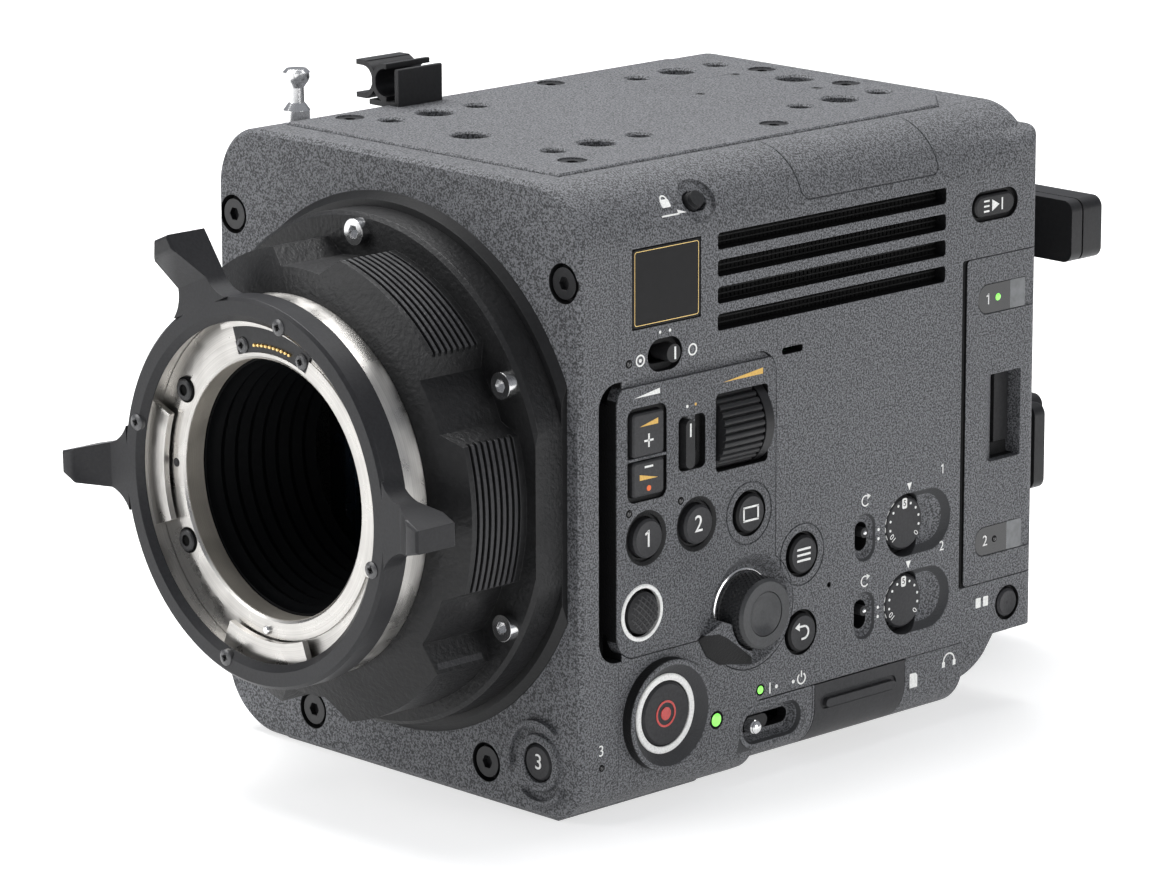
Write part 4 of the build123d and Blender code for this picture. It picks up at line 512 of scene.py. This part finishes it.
def mark(name, part, where, material="white", body=ROOT):
    """A printed or set-in mark."""
    piece(name, part, where, material, body)


def merged(parts):
    """One list of points and faces from several."""
    verts, faces = [], []
    for more_verts, more_faces in parts:
        shift = len(verts)
        verts += more_verts
        faces += [tuple(i + shift for i in face) for face in more_faces]
    return verts, faces


def moved(part, matrix):
    verts, faces = part
    return [tuple(matrix @ Vector(v)) for v in verts], faces


def turned(profile, steps=48, start=0.0, sweep=360.0):
    """A (radius, height) profile turned about local z; a full turn closes on itself."""
    full = abs(sweep - 360.0) < 1e-6
    rings = steps if full else steps + 1
    verts, faces = [], []
    for i in range(rings):
        c, s = around(1.0, start + sweep * i / steps)
        verts += [(r * c, r * s, h) for r, h in profile]
    n = len(profile)
    for i in range(steps):
        j = (i + 1) % rings
        for k in range(n - 1):
            faces.append((i * n + k, j * n + k, j * n + k + 1, i * n + k + 1))
    if not full:
        faces.append(tuple(range(n)))
        faces.append(tuple(steps * n + k for k in reversed(range(n))))
    return verts, faces


def closed_ring(profile, steps=48, start=0.0, sweep=360.0):
    """As turned, for a profile that is a closed loop."""
    return turned(list(profile) + [profile[0]], steps, start, sweep)


def prism(outline, low, high, inset=0.0):
    """An outline raised from low to high, its top edge drawn in a little."""
    n = len(outline)
    layers = [[(x, y, low) for x, y in outline], [(x, y, high - inset) for x, y in outline]]
    if inset:
        cx = sum(p[0] for p in outline) / n
        cy = sum(p[1] for p in outline) / n
        drawn = []
        for x, y in outline:
            k = max(0.0, 1 - inset / (math.hypot(x - cx, y - cy) or 1.0))
            drawn.append((cx + (x - cx) * k, cy + (y - cy) * k, high))
        layers.append(drawn)
    last = (len(layers) - 1) * n
    faces = [tuple(reversed(range(n))), tuple(range(last, last + n))]
    for layer in range(len(layers) - 1):
        low_ring, high_ring = layer * n, layer * n + n
        for i in range(n):
            j = (i + 1) % n
            faces.append((low_ring + i, low_ring + j, high_ring + j, high_ring + i))
    return sum(layers, []), faces


def round_box(wide, tall, radius, x=0.0, y=0.0):
    """A rounded rectangle's outline."""
    points = []
    for cx, cy, start in ((1, 1, 0), (-1, 1, 90), (-1, -1, 180), (1, -1, 270)):
        for i in range(7):
            dx, dy = around(radius, start + 15 * i)
            points.append((x + cx * (wide / 2 - radius) + dx, y + cy * (tall / 2 - radius) + dy))
    return points


def bar(x0, y0, x1, y1, width):
    """A straight stroke as a four-cornered outline."""
    d = math.hypot(x1 - x0, y1 - y0)
    nx, ny = -(y1 - y0) / d * width / 2, (x1 - x0) / d * width / 2
    return [(x0 + nx, y0 + ny), (x0 - nx, y0 - ny), (x1 - nx, y1 - ny), (x1 + nx, y1 + ny)]


def level_bars(x0, x1, heights, width):
    return [bar(x0, y, x1, y, width) for y in heights]


def disc(radius, x=0.0, y=0.0, steps=20):
    turns = (around(radius, 360 * i / steps) for i in range(steps))
    return [(x + dx, y + dy) for dx, dy in turns]


def stroke(*outlines, low=INK_LOW, high=INK_HIGH):
    """Flat strokes from their outlines."""
    return merged([prism(outline, low, high) for outline in outlines])


def arc(radius, width, start, sweep, x=0.0, y=0.0, low=INK_LOW, high=INK_HIGH):
    """A flat stroke along an arc."""
    r0, r1 = radius - width / 2, radius + width / 2
    steps = max(6, int(abs(sweep) / 8))
    verts, faces = closed_ring([(r0, low), (r1, low), (r1, high), (r0, high)], steps, start, sweep)
    return [(vx + x, vy + y, vz) for vx, vy, vz in verts], faces


def letters(name, words, size, where, material="white", body=ROOT, low=INK_LOW):
    """Printed numbers, centred on the place."""
    curve = bpy.data.curves.new(name, "FONT")
    curve.body = words
    curve.size = size
    curve.align_x = "CENTER"
    curve.align_y = "CENTER"
    curve.extrude = (INK_HIGH - low) / 2
    curve.resolution_u = 6
    temporary = bpy.data.objects.new(name + "_curve", curve)
    bpy.context.scene.collection.objects.link(temporary)
    bpy.context.view_layer.update()
    mesh = bpy.data.meshes.new_from_object(temporary.evaluated_get(bpy.context.evaluated_depsgraph_get()))
    verts = [(v.co.x, v.co.y, v.co.z + (INK_HIGH + low) / 2) for v in mesh.vertices]
    faces = [tuple(p.vertices) for p in mesh.polygons]
    bpy.data.objects.remove(temporary)
    bpy.data.meshes.remove(mesh)
    piece(name, (verts, faces), where, material, body)


# CAD nodes: the nodes that share each finish; the others are rubber

FINISH = {
    "front": ("front_plate",),
    "body": ("main_frame", "top_plate", "top_hatch", "base_plate", "rear_plate", "audio_box"),
    "side": ("side_cover",),
    "door": ("media_door",),
    "panel": ("control_panel",),
    "smooth_black": ("mount_base",),
    "black": ("adaptor_body",),
    "baffle": ("lens_baffle",),
    "ring": ("lock_ring",),
    "steel": ("lens_flange", "bayonet_ring"),
    "bright": ("adaptor_screws", "tape_hook", "rear_connectors", "door_hinge_pin"),
    "dark_screw": ("housing_screws",),
    "plastic": ("contact_block", "battery_plate", "cable_clamp", "card_bay", "fan_frame", "fan_rotor",
                "xlr_sockets", "nd_wheel"),
    "key": ("rec_button", "button_1", "button_2", "button_3", "slot_button", "level_dial_1", "level_dial_2"),
    "ringed_key": ("disp_button", "menu_button", "back_button"),
    "flap": ("sd_flap", "nd_plus", "nd_minus"),
    "cap": ("jog_button", "jog_dial"),
    "hollow": ("vent_mesh",),
    "board": ("main_board",),
    "alloy": ("heat_sink",),
    "filter": ("nd_filter",),
    "sensor": ("sensor_module",),
}


def soft_edges():
    """Nodes that weld doubled points and smooth across edges under 32 degrees, leaving the mesh as it is."""
    group = bpy.data.node_groups.new("soft_edges_32", "GeometryNodeTree")
    for way in ("INPUT", "OUTPUT"):
        group.interface.new_socket("Geometry", in_out=way, socket_type="NodeSocketGeometry")
    nodes, links = group.nodes, group.links
    start = nodes.new("NodeGroupInput")
    end = nodes.new("NodeGroupOutput")
    merge = nodes.new("GeometryNodeMergeByDistance")
    merge.inputs["Distance"].default_value = 1e-6
    faces = nodes.new("GeometryNodeSetShadeSmooth")
    faces.domain = "FACE"
    edges = nodes.new("GeometryNodeSetShadeSmooth")
    edges.domain = "EDGE"
    angle = nodes.new("GeometryNodeInputMeshEdgeAngle")
    compare = nodes.new("FunctionNodeCompare")
    compare.operation = "LESS_EQUAL"
    compare.inputs[1].default_value = math.radians(32.0)
    links.new(angle.outputs[0], compare.inputs[0])
    links.new(start.outputs[0], merge.inputs[0])
    links.new(merge.outputs[0], faces.inputs[0])
    links.new(faces.outputs[0], edges.inputs[0])
    links.new(compare.outputs[0], edges.inputs["Shade Smooth"])
    links.new(edges.outputs[0], end.inputs[0])
    return group


def finish_nodes():
    looks = {node: look for look, nodes in FINISH.items() for node in nodes}
    group = soft_edges()
    for name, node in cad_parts.items():
        node.data.materials.clear()
        node.data.materials.append(MATERIALS[looks.get(name, "rubber")])
        node.modifiers.new("soft_edges", "NODES").node_group = group


# Small parts

def cross_screw(name, where, radius, material, body=ROOT, height=0.7):
    """A pan-head screw with a cross recess, drawn as a near-black stroke: painted shade."""
    head = turned([(0.0, height * 0.55), (radius * 0.30, height * 0.55), (radius * 0.42, height),
                   (radius * 0.8, height * 0.86), (radius, height * 0.35), (radius, -0.8), (0.0, -0.8)], 28)
    piece(name, head, where, material, body)
    reach = radius * 0.52
    cross = stroke(bar(-reach, 0, reach, 0, radius * 0.2), bar(0, -reach, 0, reach, radius * 0.2),
                   low=height * 0.3, high=height * 0.99)
    # Painted shade: the dark cross stands in for the shaded recess
    piece(name + "_cross", cross, where, "hollow", body)


def hex_screw(name, where, radius, height):
    """A low screw with a six-sided socket, its floor near black: painted shade."""
    head = turned([(radius * 0.52, height - 0.5), (radius * 0.52, height), (radius * 0.85, height),
                   (radius, height - 0.25), (radius, -0.8)], 30)
    floor = prism(disc(radius * 0.56, steps=6), height - 0.6, height - 0.45)
    piece(name, head, where, "dark_screw")
    # Painted shade: the socket's dark floor
    piece(name + "_socket", floor, where, "hollow")


def lamp(name, where, radius, material="green", body=ROOT):
    bulb = turned([(0.0, 0.28), (radius * 0.5, 0.24), (radius * 0.85, 0.1), (radius, -0.1)], 20)
    piece(name, bulb, where, material, body)


def rim(name, where, low, high, body=ROOT):
    """A thin black ring round a lamp."""
    ring = closed_ring([(low, -0.1), (low, 0.06), (high, 0.04), (high, -0.1)], 28)
    piece(name, ring, where, "hollow", body)


def dark_lamp(name, where, radius, body=ROOT):
    """An unlit lamp in a fine dark ring."""
    lamp(name, where, radius * 0.8, "lamp_off", body)
    rim(name + "_rim", where, radius * 0.78, radius * 1.05, body)


def lens_side():
    """Screws, contact pins and other small parts of the mount, and the wall of its throat."""
    for i, angle in enumerate((76, 166, 256, 346)):
        cross_screw(f"ring_screw_{i + 1}", lens(RING_Y, angle, 36.95), 1.75, "grey_screw", "lock_ring", 0.45)
    for i, angle in enumerate((70.5, 105.5)):
        cross_screw(f"contact_screw_{i + 1}", lens(CONTACT_Y, angle, 29.9), 1.7, "grey_screw", height=0.6)
    # Painted shade: a dark ring in the recess round each flange screw
    edge = closed_ring([(2.3, -0.1), (2.3, 0.08), (2.75, 0.05), (2.75, -0.1)], 40)
    for i, (angle, radius) in enumerate(((147.5, 30.9), (-149.8, 30.3))):
        where = lens(FLANGE_Y, angle, radius)
        hex_screw(f"flange_screw_{i + 1}", where, 2.3, 0.75)
        piece(f"flange_screw_rim_{i + 1}", edge, where, "hollow")
    contact = turned([(0.0, 0.5), (0.28, 0.45), (0.42, 0.2), (0.42, -0.4)], 12)
    pins = [moved(contact, lens(CONTACT_Y, 77.5 + i * 2.3, 29.7)) for i in range(10)]
    piece("contact_pins", merged(pins), Matrix.Identity(4), "gold")
    pin = turned([(0.0, 0.9), (0.7, 0.8), (0.95, 0.5), (0.95, -0.5)], 20)
    piece("locating_pin", pin, lens(FLANGE_Y, -93, 29.6), "bright")
    dimple = turned([(0.0, 0.02), (0.6, 0.02), (0.8, 0.12), (0.95, 0.02)], 20)
    piece("flange_dimple", dimple, lens(FLANGE_Y, 178.7, 29.5), "dark_screw")
    liner = closed_ring([(26.9, -0.1), (27.04, -0.1), (27.04, -4.7), (26.9, -4.7)], 120)
    piece("throat_wall", liner, lens(FLANGE_Y + 0.4), "throat")


def badge():
    """A bare dark plate with a thin line round its edge."""
    piece("badge_plate", prism(round_box(19.2, 16.2, 0.8), -0.5, -0.02, 0.15), side(*BADGE), "badge")
    outline = round_box(18.2, 15.2, 0.6)
    inner = round_box(17.95, 14.95, 0.5)
    n = len(outline)
    verts = [(x, y, 0.0) for x, y in outline + inner]
    faces = [(i, (i + 1) % n, n + (i + 1) % n, n + i) for i in range(n)]
    piece("badge_line", (verts, faces), side(*BADGE), "gilt")


def vent_screen():
    """Woven screen behind the vents."""
    y0, y1, z0, z1 = 18.0, 92.0, 96.0, 118.2
    pitch, wire = 1.2, 0.3
    origin = side(0, 0)
    strands = []
    for i in range(int((y1 - y0) / pitch)):
        y = y0 + i * pitch
        strands.append(moved(prism(bar(y, z0, y, z1, wire), -3.35, -3.1), origin))
    for i in range(int((z1 - z0) / pitch)):
        z = z0 + i * pitch
        strands.append(moved(prism(bar(y0, z, y1, z, wire), -3.3, -3.05), origin))
    piece("vent_screen", merged(strands), Matrix.Identity(4), "screen")


def one(tall, low=INK_LOW):
    """The figure 1: a stem with its flag."""
    half, line = tall / 2, tall * 0.13
    flag = bar(0.04, half - line / 2, -tall * 0.26, half - tall * 0.24, line)
    return stroke(bar(0, -half, 0, half, line), flag, low=low)


def button_numbers():
    mark("number_1", one(3.5, KEY_INK_LOW), side(KEY_1[0] + 0.1, KEY_1[1], KEY_FACE), body="button_1")
    letters("number_2", "2", 5.0, side(*KEY_2, KEY_FACE), body="button_2", low=KEY_INK_LOW)
    letters("number_3", "3", 4.6, front(*BUTTON_3, 0.55), body="button_3", low=-0.4)
    dark_lamp("lamp_1", side(-4.5, 63.9), 0.8)
    dark_lamp("lamp_2", side(10.3, 64.0), 0.8)
    dark_lamp("lamp_3", side(-12.3, 12.2), 0.7)
    letters("strip_3", "3", 3.3, side(-12.4, 15.75))


def key_symbols():
    """A screen, three bars and an arrow on three keys, a triangle between bars on the clips key."""
    uprights = [bar(x, -1.4, x, 1.4, 0.4) for x in (-2.1, 2.1)]
    outline = stroke(*level_bars(-2.3, 2.3, (1.4, -1.4), 0.4), *uprights, low=KEY_INK_LOW)
    mark("symbol_display", outline, side(*DISPLAY_KEY, 0.58), body="disp_button")
    bars = stroke(*level_bars(-2.0, 2.0, (1.2, 0, -1.2), 0.45), low=KEY_INK_LOW)
    mark("symbol_menu", bars, side(*MENU_KEY, 0.56), body="menu_button")
    bend = arc(1.35, 0.42, -90, 180, 0.4, low=KEY_INK_LOW)
    ends = stroke(bar(-0.9, 1.35, 0.4, 1.35, 0.42), bar(-0.3, -1.35, 0.4, -1.35, 0.42), low=KEY_INK_LOW)
    tip = stroke([(-2.3, 1.35), (-0.9, 0.45), (-0.9, 2.25)], low=KEY_INK_LOW)
    mark("symbol_back", merged([bend, ends, tip]), side(*BACK_KEY, 0.56), body="back_button")
    clip = stroke([(-1.0, 1.25), (-1.0, -1.25), (1.3, 0.0)], *level_bars(-3.6, -1.9, (1.1, 0, -1.1), 0.4),
                  bar(2.2, 1.3, 2.2, -1.3, 0.4))
    mark("symbol_clips", clip, side(104.9, 112.1, 0.1), body="clips_button")


def wedge(half, foot, rise, lean=1):
    """A long thin wedge, high at its right end, or at its left end with lean -1."""
    return stroke([(-half, -foot), (half, -foot), (lean * half, rise)])


def filter_symbols():
    """Marks on the two filter keys, the mode slider and above them."""
    minus = bar(-1.2, 0, 1.2, 0, 0.42)
    plus = stroke(bar(-1.3, 0, 1.3, 0, 0.42), bar(0, -1.4, 0, 1.4, 0.42))
    mark("symbol_plus", plus, side(ND_KEYS_Y, 78.4, KEY_FACE), body="nd_plus")
    mark("wedge_plus", wedge(2.6, 0.5, 0.7), side(ND_KEYS_Y, 82.0, KEY_FACE), "amber", "nd_plus")
    mark("symbol_minus", stroke(minus), side(ND_KEYS_Y, 73.0, KEY_FACE), body="nd_minus")
    mark("wedge_minus", wedge(2.6, 0.5, 0.7, -1), side(ND_KEYS_Y, 70.9, KEY_FACE), "amber", "nd_minus")
    mark("dot_minus", stroke(disc(0.6)), side(ND_KEYS_Y, 68.5, KEY_FACE), "orange", "nd_minus")
    mark("nd_line", stroke(bar(0, -1.4, 0, 1.4, 0.42)), side(12.1, 78.6, 1.0), body="nd_switch")
    mark("nd_dot_left", stroke(disc(0.33)), side(12.1, 83.4))
    mark("nd_dot_right", stroke(disc(0.3)), side(14.5, 83.5), "amber")
    mark("nd_title", wedge(3.6, 0.45, 0.7), side(ND_KEYS_Y, 87.9))
    mark("wheel_title", wedge(5.8, 0.5, 0.75), side(28.3, 87.2), "amber")


def focus_symbols():
    circle = arc(1.1, 0.35, 0, 360)
    mark("focus_left", merged([circle, stroke(disc(0.4))]), side(-1.3, 95.0))
    mark("focus_right", circle, side(13.6, 95.0))
    mark("focus_dots", stroke(disc(0.33, -1.4), disc(0.33, 1.4)), side(5.7, 100.0))
    mark("focus_line", stroke(bar(0, -1.3, 0, 1.3, 0.5)), side(7.9, 95.3, 0.7), body="af_switch")
    dark_lamp("lamp_focus", side(-4.5, 94.8), 0.85)


def record_and_power():
    red = merged([arc(2.6, 0.45, 0, 360, low=-0.2), stroke(disc(1.4), low=-0.2)])
    mark("symbol_record", red, side(*RECORD, 0.72), "red", "rec_button")
    lamp("lamp_record", side(*RECORD_LAMP), 1.5)
    rim("lamp_record_rim", side(*RECORD_LAMP), 1.45, 1.95)
    power = merged([arc(1.15, 0.34, 125, 290), stroke(bar(0, 0.3, 0, 1.7, 0.34))])
    mark("symbol_power", power, side(46.2, 19.3))
    dots = stroke(disc(0.42), bar(-1.95, -1.2, -1.95, 1.2, 0.32), disc(0.42, 5.07))
    mark("power_marks", dots, side(38.65, 19.1))
    lamp("lamp_power", side(*POWER_LAMP), 0.95)
    rim("lamp_power_rim", side(*POWER_LAMP), 0.9, 1.25)
    ball = turned([(0.0, 1.35), (0.7, 1.22), (1.25, 0.85), (1.6, 0.25), (1.6, -1.6), (0.0, -1.6)], 32)
    piece("power_ball", ball, side(32.3, 11.6, -0.1), "bright", "power_switch")


def dash(radius, degrees, half, width):
    """A short bar that lies along a circle."""
    x, y = around(radius, degrees)
    dx, dy = around(half, degrees - 90)
    return bar(x + dx, y + dy, x - dx, y - dy, width)


def dial_face(i, y, z):
    """Dots and numbers on a level dial's sunk face, and short white dashes on the left of its ribbed edge:
    painted highlights on the ribs.
    """
    body = f"level_dial_{i}"
    out = -1.3
    dots = [disc(0.3, *around(4.5, -36 + 25.3 * k), 12) for k in (1, 2, 3, 4, 6, 7, 8, 9)]
    mark(f"dial_dots_{i}", stroke(*dots), side(y, z, out), body=body)
    # Painted highlights: white dashes where the ribs of the dial's edge face the light
    rib_highlights = [dash(5.72, degrees, 0.55, 0.16) for degrees in (128, 148, 167, 186, 204)]
    mark(f"dial_rib_highlights_{i}", stroke(*rib_highlights, low=-0.6, high=-0.2), side(y, z, out), body=body)
    for number, degrees in (("0", -36), ("10", 217)):
        dy, dz = around(4.4, degrees)
        spin = Matrix.Rotation(math.radians(degrees - 90), 4, "Z")
        letters(f"dial_{number}_{i}", number, 1.9, side(y + dy, z + dz, out) @ spin, body=body)
    mark(f"dial_five_{i}", stroke(round_box(1.5, 2.3, 0.45)), side(y, z + 4.35, out), body=body)
    letters(f"dial_5_{i}", "5", 1.9, side(y, z + 4.35, out + 0.04), "hollow", body)
    mark(f"dial_arrow_{i}", stroke([(-0.75, 0.8), (0.0, -0.8), (0.75, 0.8)]), side(y, z + 8.3))


def auto_slider(i, y, z, symbol_z):
    """A turning arrow, two dots and the bright bead of a small slider."""
    symbol = merged([arc(1.1, 0.3, 40, 280), stroke([(0.5, 1.5), (1.6, 0.9), (0.6, 0.2)])])
    mark(f"auto_mark_{i}", symbol, side(y, symbol_z))
    mark(f"auto_dots_{i}", stroke(disc(0.34, 0, 1.0), disc(0.34, 0, -1.0)), side(y + 4.1, z))
    bead = turned([(0.0, 0.42), (0.3, 0.36), (0.5, 0.15), (0.55, -0.2)], 16)
    piece(f"auto_bead_{i}", bead, side(y, z + 1.0, -0.2), "bright", f"auto_switch_{i}")


def channel_dials():
    for i, ((y, z), slider) in enumerate(zip(DIALS, AUTO_SLIDERS), 1):
        dial_face(i, y, z)
        number_place = side(y + 10.5, z + 10.4)
        if i == 1:
            mark("dial_number_1", one(2.1), number_place)
        else:
            letters("dial_number_2", "2", 3.0, number_place)
        auto_slider(i, *slider)


def jog_knurl():
    """Diamond knurl round the jog dial, and the bright ring at its foot."""
    rows, count, pitch, first = 7, 44, 0.86, -1.55
    foot, tip, half = 7.40, 7.72, 0.46
    studs = []
    for row in range(rows):
        h = first + row * pitch
        for k in range(count):
            c, s = around(1.0, 360 * (k + 0.5 * (row % 2)) / count)
            base = ((-half, 0), (0, -half), (half, 0), (0, half))
            points = [(foot * c - t * s, foot * s + t * c, h + lift) for t, lift in base]
            points.append((tip * c, tip * s, h))
            studs.append((points, [(0, 1, 4), (1, 2, 4), (2, 3, 4), (3, 0, 4)]))
    piece("jog_knurl", merged(studs), side(*JOG), "plastic", "jog_dial", 5.0)
    piece("jog_foot_ring", closed_ring([(7.7, -2.5), (8.15, -2.3), (8.6, -2.5)], 60), side(*JOG), "bright")


def dome(r):
    """Height of the joystick's cap at a radius."""
    if r < 1.4:
        return 1.8 - 0.0714 * r
    if r < 3.1:
        return 1.7 - 0.294 * (r - 1.4)
    return 1.2 - 0.75 * (r - 3.1)


def ridge(degrees, shift):
    """A ridge across the dome at an angle, moved sideways from its middle."""
    ax, ay = around(1.0, degrees)
    half = math.sqrt(3.75 ** 2 - shift ** 2)
    count = max(4, int(half * 4))
    verts, faces = [], []
    for i in range(count + 1):
        t = -half + 2 * half * i / count
        for offset, lift in ((-0.2, -0.12), (0.0, 0.26), (0.2, -0.12)):
            x = ax * t - ay * (shift + offset)
            y = ay * t + ax * (shift + offset)
            verts.append((x, y, dome(math.hypot(x, y)) + lift))
    for b in range(0, 3 * count, 3):
        faces.append((b, b + 3, b + 4, b + 1))
        faces.append((b + 1, b + 4, b + 5, b + 2))
    return verts, faces


def joystick_cap():
    """Crossed ridges on the dome, lighter than the cap as a painted highlight, and its bright collar."""
    ridges = [ridge(degrees, k * 1.02) for degrees in (45, 135) for k in range(-3, 4)]
    piece("joystick_grip", merged(ridges), side(*JOYSTICK), "ridge", "joystick", 5.0)
    profile = [(5.05, -0.6), (5.1, 0.15), (5.4, 0.3), (5.75, 0.25), (5.95, 0.05), (5.95, -0.6)]
    collar = closed_ring(profile, 60)
    piece("joystick_collar", collar, side(*JOYSTICK), "white")


def record_ring():
    ring = closed_ring([(6.98, 0.1), (6.98, 0.55), (7.2, 0.68), (8.2, 0.68), (8.42, 0.5), (8.42, 0.1)], 72)
    piece("record_ring", ring, side(*RECORD), "white")


def window_shape(y0, y1, half, radius):
    """A lamp window: rounded at its front end, square at its rear one."""
    points = [(y1, -half), (y1, half)]
    for cz, start in ((half - radius, 90), (radius - half, 180)):
        for i in range(7):
            dy, dz = around(radius, start + 15 * i)
            points.append((y0 + radius + dy, cz + dz))
    return points


def door_windows():
    """Two lamp windows on the card door, each with a clear end made lighter grey as a painted highlight, a
    number and a lamp.
    """
    y0, y1, y2, half = 100.25, 110.4, 115.2, 3.15
    for i, z in enumerate(WINDOWS_Z, 1):
        window = prism(window_shape(y0, y1, half, 2.7), -0.5, -0.1, 0.06)
        piece(f"window_{i}", window, side(0, z), "gloss", "media_door")
        # Painted highlight: the clear end's lighter tone
        clear = prism([(y1, -half), (y2, -half), (y2, half), (y1, half)], -0.5, -0.14, 0.04)
        piece(f"window_end_{i}", clear, side(0, z), "glass", "media_door")
        number_place, lamp_place = side(103.4, z, -0.08), side(106.45, z, -0.1)
        if i == 1:
            mark("slot_number_1", one(2.3), number_place, body="media_door")
            lamp("slot_lamp_1", lamp_place, 0.85, body="media_door")
        else:
            letters("slot_number_2", "2", 3.3, number_place, body="media_door")
            dark_lamp("slot_lamp_2", lamp_place, 0.7, "media_door")


def low_marks():
    """Marks by the slot key, the card flap and the headphone socket."""
    slots = stroke(round_box(1.6, 2.2, 0.2, -1.2), round_box(1.6, 2.2, 0.2, 1.2))
    mark("slot_marks", slots, side(102.6, 25.0))
    card = stroke([(-1.2, -1.6), (1.2, -1.6), (1.2, 1.0), (0.6, 1.6), (-1.2, 1.6)])
    mark("card_mark", card, side(81.0, 11.8))
    ears = stroke(bar(-1.7, -1.2, -1.7, 0.0, 0.9), bar(1.7, -1.2, 1.7, 0.0, 0.9))
    mark("phones_mark", merged([arc(1.7, 0.35, 0, 180), ears]), side(92.2, 13.9))


def lock_marks():
    lock = merged([stroke(round_box(2.4, 1.8, 0.3, 0, -0.6)), arc(0.8, 0.35, 0, 180, 0, 0.3)])
    mark("lock_symbol", lock, shoulder(8.0, 36))
    arrow = stroke(bar(-3.4, 0, 1.5, 0, 0.35), [(1.2, 0.9), (1.2, 0.0), (3.6, 0.0)])
    mark("lock_arrow", arrow, shoulder(9.3, 23))


def hatch_screws():
    for i, (x, y) in enumerate(((-4.1, 75.3), (-16.0, 98.4), (8.5, 98.4)), 1):
        cross_screw(f"hatch_screw_{i}", top(x, y, -0.25), 1.3, "dark_screw", height=0.35)


# Stage, light and camera

def floor():
    """A wide level sheet of pale paper."""
    reach = 9.0
    mesh = bpy.data.meshes.new("studio_floor")
    corners = [(-reach, -reach, 0), (reach, -reach, 0), (reach, reach, 0), (-reach, reach, 0)]
    mesh.from_pydata(corners, [], [(0, 1, 2, 3)])
    made = Shader("studio_paper", (0.56, 0.56, 0.56), 0.9)
    made.speckle(40.0, (0.57, 0.57, 0.57), (0.55, 0.55, 0.55))
    made.glow((1, 1, 1), 0.62)
    mesh.materials.append(made.done())
    obj = bpy.data.objects.new("studio_floor", mesh)
    bpy.context.scene.collection.objects.link(obj)


def soft_light(name, position, target, wide, tall, power):
    data = bpy.data.lights.new(name, "AREA")
    data.shape = "RECTANGLE"
    data.size = wide
    data.size_y = tall
    data.energy = power
    obj = bpy.data.objects.new(name, data)
    obj.location = position
    obj.rotation_euler = (Vector(target) - Vector(position)).to_track_quat("-Z", "Y").to_euler()
    bpy.context.scene.collection.objects.link(obj)


def studio():
    floor()
    centre = (0.0, 0.03, 0.07)
    soft_light("top_soft", (-0.45, 0.1, 1.2), centre, 0.9, 0.9, 17.5)
    soft_light("left_soft", (-0.75, -1.15, 0.75), centre, 0.9, 0.9, 10.5)
    soft_light("right_soft", (1.4, 0.05, 0.3), centre, 0.8, 0.8, 6.6)
    soft_light("back_soft", (-0.35, 0.5, 1.7), (-0.9, 0.95, 0.2), 1.6, 0.8, 22.0)
    world = bpy.data.worlds.new("studio_world")
    world.use_nodes = True
    background = world.node_tree.nodes["Background"]
    background.inputs["Color"].default_value = (0.9, 0.93, 1.0, 1)
    background.inputs["Strength"].default_value = 0.32
    bpy.context.scene.world = world
    bpy.context.scene.view_settings.view_transform = "Standard"


def camera():
    """The photograph's camera: its place, direction and focal length, fitted to the mount and the edges."""
    azimuth, elevation, roll = (math.radians(a) for a in (45.8308, 13.5715, -0.1369))
    position = (0.81495, -0.75556, 0.33771)
    focal_pixels, photo_pixels, sensor = 5484.83, 1167, 36.0
    flat = math.cos(elevation)
    back = Vector((math.sin(azimuth) * flat, -math.cos(azimuth) * flat, math.sin(elevation)))
    right = Vector((math.cos(azimuth), math.sin(azimuth), 0))
    up = back.cross(right)
    across = right * math.cos(roll) + up * math.sin(roll)
    upright = up * math.cos(roll) - right * math.sin(roll)
    data = bpy.data.cameras.new("photo_camera")
    data.sensor_width = sensor
    data.lens = focal_pixels / photo_pixels * sensor
    data.clip_end = 50.0
    obj = bpy.data.objects.new("photo_camera", data)
    obj.matrix_world = place(position, across, upright, back)
    bpy.context.scene.collection.objects.link(obj)
    bpy.context.scene.camera = obj


finish_nodes()
lens_side()
badge()
vent_screen()
button_numbers()
key_symbols()
filter_symbols()
focus_symbols()
record_and_power()
channel_dials()
jog_knurl()
joystick_cap()
record_ring()
door_windows()
low_marks()
lock_marks()
hatch_screws()
studio()
camera()
